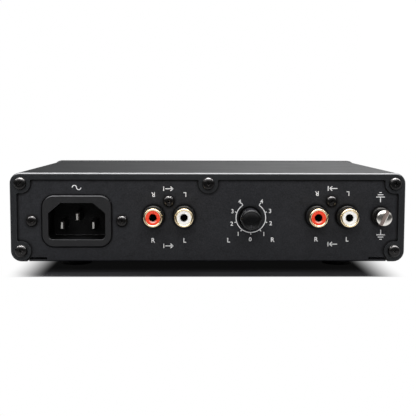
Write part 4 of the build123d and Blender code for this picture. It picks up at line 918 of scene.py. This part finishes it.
# %% [markdown]
# ## Phono sockets
#
# A phono socket's outer contact is a plated tube whose mouth is rolled in over the insulator. The round
# lip is what makes it sparkle: one half mirrors the light above, the other the floor. The insulator is a
# coloured moulding with a countersink that guides the plug's pin; its deep pin hole is painted black, as
# painted shade.

# %% Gold shells
SHELL_RINGS = [
    (3.94, -11.8), (3.95, 2.99), (4.14, 3.0), (4.15, 3.2), (4.15, 8.45), (4.12, 8.66), (4.02, 8.84),
    (3.86, 8.95), (3.65, 9.0), (3.44, 8.96), (3.28, 8.87), (3.18, 8.74), (3.14, 8.57), (3.45, 8.5),
    (3.45, -11.8),
]
shell = turned("shell", SHELL_RINGS, bored=True)
JACKS = [(pair, side) for pair in ("output", "input") for side in ("right", "left")]
for pair, side in JACKS:
    piece = copy_of(shell, f"{pair}_{side}_rolled_shell")
    face_the_rear(piece, *middle_of(f"{pair}_shell_{side}"))
    dress(piece, "gold_plate", "gold", "case", f"{pair}_shell_{side}")
bpy.data.objects.remove(shell)

# %% Red and white insulators
INSULATOR_RINGS = [
    (3.40, -11.8), (3.40, 8.3), (3.34, 8.42), (3.2, 8.47), (2.3, 8.47), (2.15, 8.42), (1.72, 7.95),
    (1.65, 7.8), (1.65, 2.6), (2.45, 2.5), (2.45, -11.8),
]
THROAT = (1.7, 7.8)  # inside this radius and below this height the pin hole is dark


def in_the_throat(at):
    """Whether a face lies in the pin hole, which is painted black as shade."""
    return math.hypot(at.x, at.y) < THROAT[0] * MM and at.z < THROAT[1] * MM


insulator = turned("insulator", INSULATOR_RINGS, bored=True)
for pair, side in JACKS:
    colour = "red" if side == "right" else "white"
    piece = copy_of(insulator, f"{pair}_{colour}_countersunk_insulator")
    paint(piece, (f"{colour}_insulator", "pin_hole_painted_shade"), in_the_throat)
    face_the_rear(piece, *middle_of(f"{pair}_insulator_{side}"))
    dress(piece, None, f"{colour}_insulator", "case", f"{pair}_insulator_{side}")
bpy.data.objects.remove(insulator)

# %% [markdown]
# ## Screws
#
# Nine black pan-head screws show. The head is a dome that falls off ever faster towards the rim, and its
# colour is painted lighter where that rim faces up, a painted highlight that draws the bright crescent. The
# cross recess is cut by two tapered bars, so its walls slope, and it is darkened as painted shade. Each
# screw stopped at its own angle when it was driven home.

# %% One cross-head screw of a size
DOME = [  # shares of the head's radius and of its height, from the side to the top
    (1.0, 0.32), (0.987, 0.47), (0.95, 0.63), (0.89, 0.76), (0.8, 0.86), (0.66, 0.935), (0.45, 0.98),
    (0.2, 1.0),
]
POINT = 0.35  # bevel at the thread's end
HEAD_FOOT = (0.12, 0.1)  # bevel under the head
BAR_WIDTH = 0.72
BAR_HEIGHT = 2.3
BAR_TAPER = (0.42, 0.6, 1)


def cross_screw(name, thread, head, rise, drive, length):
    """Pan-head screw with its seat at height 0."""
    half = head / 2
    screw = turned(name, [
        (thread / 2 - POINT, -length), (thread / 2, POINT - length), (thread / 2, 0.0),
        (half - HEAD_FOOT[0], 0.0), (half, HEAD_FOOT[1]),
        *((half * across, rise * up) for across, up in DOME),
    ], sides=72)
    for quarter in (0, 1):
        bar = block("bar", (0, 0, rise), (drive, BAR_WIDTH, BAR_HEIGHT))
        pick(bar, "FACE", lambda centre: centre.z < (rise - 1) * MM)
        bpy.ops.transform.resize(value=BAR_TAPER, center_override=(0, 0, 0))
        if quarter:
            bpy.ops.mesh.select_all(action="SELECT")
            bpy.ops.transform.rotate(value=math.pi / 2, orient_axis="Z", center_override=(0, 0, 0))
        deselect()
        cut(screw, bar)
    return screw


def drive_in(pattern, name, places, node, out=0.0):
    """Copies of one screw at (x, z, spin) places, joined into the piece that stands for a node."""
    copies = [
        face_the_rear(copy_of(pattern, f"{name}_{index}"), x, z, spin, out)
        for index, (x, z, spin) in enumerate(places)
    ]
    return dress(join(name, copies), "black_zinc", "black_screw", "case", node, angle=24)


# %% Drive the screws in
cover_low, cover_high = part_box("top_cover")
SCREW_INSET = 4.8 * MM
SMALL_HEAD = 4.8
side_x = cover_high.x - SCREW_INSET
low_z, high_z = cover_low.z + SCREW_INSET, cover_high.z - SCREW_INSET
large = cross_screw("large_screw", thread=3.0, head=5.5, rise=1.8, drive=2.6, length=7.0)
drive_in(large, "cover_screws_cross_head", [
    (-side_x, low_z, 24), (-side_x, high_z, 52), (0, high_z, 12), (side_x, high_z, 70), (side_x, low_z, 40),
], "cover_screws", out=(WALL - cover_low.y) / MM)
bpy.data.objects.remove(large)

small = cross_screw("small_screw", thread=2.6, head=SMALL_HEAD, rise=1.6, drive=2.3, length=8.0)
inlet_low, inlet_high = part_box("inlet_screws")
inlet_z = middle_of("inlet_screws")[1]
drive_in(small, "inlet_screws_cross_head", [
    (inlet_low.x + SMALL_HEAD / 2 * MM, inlet_z, 33), (inlet_high.x - SMALL_HEAD / 2 * MM, inlet_z, 60),
], "inlet_screws")
for pair, spin in (("output", 18), ("input", 47)):
    node = f"{pair}_jack_screw"
    drive_in(small, f"{node}_cross_head", [(*middle_of(node), spin)], node)
bpy.data.objects.remove(small)

# %% [markdown]
# ## Balance knob
#
# A moulded knob has a rounded shoulder, a shallow dish in its face and a dimple that shows the setting.
# The dish is eased down ring by ring. Underneath it is open, so that the shaft goes in.

# %% Knob
DOT_OFFSET = 2.8  # the dimple is this far from the knob's axis
BALL_RADIUS = 0.8  # a ball cuts it
BALL_HEIGHT = 11.22
DOT_RADIUS = 0.62
DOT_SPAN = (10.0, 10.82)  # heights between which the faces of the dimple lie

knob = turned("balance_knob_moulded", [
    (3.05, 9.0), (3.05, 0.6), (4.38, 0.6), (4.5, 0.72), (4.5, 9.9), (4.48, 10.2), (4.41, 10.46), (4.3, 10.68),
    (4.13, 10.85), (3.93, 10.96), (3.7, 11.0), (3.5, 10.98), (3.3, 10.92), (2.6, 10.8), (1.8, 10.71),
    (0.9, 10.66), (0.3, 10.65),
], sides=120)
deselect()
ball_place = (0, -DOT_OFFSET * MM, BALL_HEIGHT * MM)
bpy.ops.mesh.primitive_uv_sphere_add(segments=32, ring_count=16, radius=BALL_RADIUS * MM, location=ball_place)
ball = bpy.context.object
bpy.ops.object.transform_apply()
cut(knob, ball)


def in_the_dimple(at):
    """Whether a face lies in the dimple."""
    from_dot = math.hypot(at.x, at.y + DOT_OFFSET * MM)
    return from_dot < DOT_RADIUS * MM and DOT_SPAN[0] * MM < at.z < DOT_SPAN[1] * MM


paint(knob, ("knob_satin", "knob_dot"), in_the_dimple)
face_the_rear(knob, *middle_of("balance_knob"))
dress(knob, None, "knob_plastic", "balance", "balance_knob")

# %% Black ring under the knob, painted shade
# a black ring round the knob's foot stands for the shade in the gap under it
dark_ring = turned("balance_knob_shadow_ring", [
    (3.3, 0.02), (4.9, 0.02), (5.02, 0.12), (5.02, 0.4), (4.9, 0.5), (3.3, 0.5),
], bored=True)
face_the_rear(dark_ring, *middle_of("balance_knob"))
dress(dark_ring, "ring_painted_shade", None, "case")

# %% [markdown]
# ## Ground terminal
#
# The thumb screw's head is knurled: along its side every fourth line of vertices is pulled in, which
# leaves 28 ribs. Its face is domed and the rim is eased. Two blocks cut the driver slot at the angle where
# the screw stopped: one straight, and one turned on edge, which chamfers the slot's rims.

# %% Thumb screw
RIBS = 28
GROOVE_WIDTH = 0.935  # the grooves are pulled in to this share
BAND_RADIUS = 3.55  # the knurled band lies outside this radius
HEAD_TOP = 9.0
FACE_FOOT = 8.15  # faces above this height belong to the bright face
SLOT = (9.0, 1.6, 2.8)
SLOT_CHAMFER = (9.0, 1.5, 1.5)
SLOT_FLOOR = HEAD_TOP - SLOT[2] / 2
FACE_ANGLE = math.radians(64.0)

terminal = turned("ground_thumb_screw_knurled", [
    (1.7, -10.7), (2.0, -10.4), (2.0, 3.3), (3.3, 3.3), (3.6, 3.6), (3.6, 7.7), (3.46, 7.95), (3.46, 8.2),
    (3.4, 8.36), (3.24, 8.48), (2.95, 8.6), (2.6, 8.71), (2.1, 8.82), (1.5, 8.91), (0.9, 8.97), (0.4, 9.0),
], sides=4 * RIBS)


def on_a_groove(at):
    """Whether a vertex of the knurled band lies on the floor of a groove."""
    step = round(math.atan2(at.y, at.x) / (2 * math.pi / (4 * RIBS)))
    return math.hypot(at.x, at.y) > BAND_RADIUS * MM and step % 4 == 0


pick(terminal, "VERT", on_a_groove)
bpy.ops.transform.resize(value=(GROOVE_WIDTH, GROOVE_WIDTH, 1), center_override=(0, 0, 0))
deselect()

# %% Slot of the thumb screw
for name, size, tilt in (("slot", SLOT, 0.0), ("slot_chamfer", SLOT_CHAMFER, math.pi / 4)):
    slot_tool = block(name, (0, 0, 0), size)
    slot_tool.matrix_world = (
        Matrix.Translation((0, 0, HEAD_TOP * MM))
        @ Matrix.Rotation(FACE_ANGLE, 4, "Z")
        @ Matrix.Rotation(tilt, 4, "X")
    )
    bpy.ops.object.transform_apply()
    cut(terminal, slot_tool)


def terminal_finish(at):
    """0 on the face, 1 on the slot's floor, 2 elsewhere; 1 and 2 are darker, painted shade."""
    if at.z >= FACE_FOOT * MM:
        return 0
    across_slot = at.x * math.sin(FACE_ANGLE) - at.y * math.cos(FACE_ANGLE)
    at_floor = abs(at.z - SLOT_FLOOR * MM) < 2 * NEAR * MM
    return 1 if at_floor and abs(across_slot) < (SLOT[1] / 2 - NEAR) * MM else 2


paint(terminal, ("nickel_plate", "slot_painted_shade", "nickel_painted_shade"), terminal_finish)
face_the_rear(terminal, *middle_of("ground_screw"))
dress(terminal, None, "nickel", "ground_thumbscrew", "ground_screw", angle=28)

# %% [markdown]
# ## Print on the rear wall
#
# The screen print is a film of white ink, a few hundredths of a millimetre thick. The dial's scale is an
# arc with nine ticks and plain numbers, and the sockets have an L or an R, once upright and once turned
# over, to be read from above. Other places have plain symbols: a wave for mains, arrows out and in, and
# the earth sign.

# %% Ink helpers
INK = 0.03
LINE = 0.36
CAP_HEIGHT = 0.7  # share of the font's size
BOLDER = 0.018  # letters are thickened by this share of their height
prints = []


def lettering(text, height, x, z, turn=0.0):
    """Printed characters of a height, centred on a place in millimetres."""
    deselect()
    bpy.ops.object.text_add()
    piece = bpy.context.object
    piece.name = f"print_{len(prints)}"
    piece.data.body = text
    piece.data.size = height * MM / CAP_HEIGHT
    piece.data.offset = BOLDER * height * MM
    piece.data.extrude = INK * MM
    bpy.ops.object.convert(target="MESH")
    bpy.ops.object.origin_set(type="ORIGIN_GEOMETRY", center="BOUNDS")
    factor = height * MM / piece.dimensions.y
    bpy.ops.transform.resize(value=(factor, factor, 1))
    bpy.ops.object.transform_apply(location=False, rotation=False, scale=True)
    bpy.ops.object.mode_set(mode="EDIT")
    bpy.ops.mesh.select_all(action="SELECT")
    bpy.ops.mesh.remove_doubles(threshold=0.001 * MM)
    bpy.ops.mesh.normals_make_consistent()
    prints.append(face_the_rear(piece, x * MM, z * MM, turn))


def stroke(x, z, length, angle=0.0):
    """Straight printed line, its middle at a place and its length along an angle."""
    piece = block(f"print_{len(prints)}", (0, 0, 0), (length, LINE, 2 * INK))
    prints.append(face_the_rear(piece, x * MM, z * MM, angle))


def arc(x, z, radius, start, end):
    """Printed arc: a ring that is widened, bitten open and given its thickness."""
    deselect()
    bpy.ops.mesh.primitive_circle_add(vertices=240, radius=(radius - LINE / 2) * MM, fill_type="NOTHING")
    piece = bpy.context.object
    piece.name = f"print_{len(prints)}"
    bpy.ops.object.mode_set(mode="EDIT")
    bpy.ops.mesh.select_all(action="SELECT")
    bpy.ops.mesh.extrude_region_move()
    factor = (radius + LINE / 2) / (radius - LINE / 2)
    bpy.ops.transform.resize(value=(factor, factor, 1), center_override=(0, 0, 0))
    middle = math.radians((start + end) / 2)
    reach = math.radians((end - start) / 2) + 1e-4
    pick(piece, "VERT", lambda at: math.hypot(at.x, at.y) > 0 and abs(
        math.remainder(math.atan2(at.y, at.x) - middle, 2 * math.pi)) > reach)
    bpy.ops.mesh.delete(type="VERT")
    bpy.ops.mesh.select_all(action="SELECT")
    bpy.ops.mesh.extrude_region_move(TRANSFORM_OT_translate={"value": (0, 0, 2 * INK * MM)})
    bpy.ops.mesh.select_all(action="SELECT")
    bpy.ops.transform.translate(value=(0, 0, -INK * MM))
    bpy.ops.mesh.normals_make_consistent()
    prints.append(face_the_rear(piece, x * MM, z * MM))


# %% Dial
DIAL = (19.05, 24.7)
DIAL_SWEEP = 147.0
ARC_RADIUS = 6.62
TICK = 0.95
END_TICK = 1.3
NUMBER_HEIGHT = 1.85
arc(*DIAL, ARC_RADIUS, -90 - DIAL_SWEEP, -90 + DIAL_SWEEP)
for step in range(-4, 5):
    angle = -90 + step * DIAL_SWEEP / 4
    length = END_TICK if abs(step) == 4 else TICK
    reach = ARC_RADIUS + length / 2
    tick_x = DIAL[0] + reach * math.cos(math.radians(angle))
    tick_z = DIAL[1] + reach * math.sin(math.radians(angle))
    stroke(tick_x, tick_z, length, angle)
NUMBERS = [
    ("4", 14.0, 31.9), ("3", 10.8, 27.6), ("2", 10.5, 22.0), ("1", 13.4, 17.4), ("0", 18.8, 15.0),
    ("1", 24.9, 17.4), ("2", 27.9, 22.2), ("3", 27.6, 27.7), ("4", 23.8, 32.0),
]
for number, x, z in NUMBERS:
    lettering(number, NUMBER_HEIGHT, x, z)
print("dial of", len(prints), "marks")

# %% Channel letters
LETTER_HEIGHT = 2.0
LETTERS_BELOW = 14.5  # heights of the two rows of letters at the sockets
LETTERS_ABOVE = 35.0
for x, lift, letter in ((-24.5, 0.0, "R"), (-10.4, 0.0, "L"), (48.4, 0.5, "R"), (62.3, 0.5, "L")):
    lettering(letter, LETTER_HEIGHT, x, LETTERS_BELOW + lift)
    lettering(letter, LETTER_HEIGHT, x, LETTERS_ABOVE + lift, turn=180)
lettering("L", LETTER_HEIGHT, 9.2, 14.6)
lettering("R", LETTER_HEIGHT, 28.9, 14.8)
print("marks so far:", len(prints))

# %% Symbols
SHAFT = 3.4
TIP = 1.75  # from the middle of the shaft
BARB = 1.6
BARB_MIDDLE = 0.7  # of each barb, back from the tip
BAR = 2.0
BAR_PLACE = 2.4  # to the left of the shaft's middle
STEM = 2.2
STEM_MIDDLE = 1.2  # above the longest bar
EARTH_BARS = (3.8, 2.5, 1.1)


def arrow(x, z, outward):
    """Arrow beside a short bar: out of it, or into it."""
    way = 1 if outward else -1
    stroke(x, z, SHAFT)
    for tilt in (-40, 40):
        head = math.radians(tilt)
        barb_x = x + way * (TIP - BARB_MIDDLE * math.cos(head))
        stroke(barb_x, z + BARB_MIDDLE * math.sin(head), BARB, -way * tilt)
    stroke(x - BAR_PLACE, z, BAR, 90)


def earth_sign(x, z, up=1):
    """Earth sign: a stem on three bars, each shorter than the last."""
    stroke(x, z + up * STEM_MIDDLE, STEM, 90)
    for index, length in enumerate(EARTH_BARS):
        stroke(x, z - up * index, length)


arrow(-17.4, 12.0, True)
arrow(-17.4, 37.6, True)
arrow(56.1, 12.8, False)
arrow(55.85, 37.8, False)
earth_sign(77.3, 17.0)
earth_sign(76.9, 34.0, up=-1)
arc(-59.35, 38.1, 0.95, 0, 180)
arc(-57.45, 38.1, 0.95, 180, 360)
wall_print = join("wall_print", prints)
dress(wall_print, "white_ink", None, "case", angle=20)

# %% Measure the two boxes, and finish
size = {"cad": [list(corner) for corner in cad_box], "visual": [list(corner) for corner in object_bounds()]}
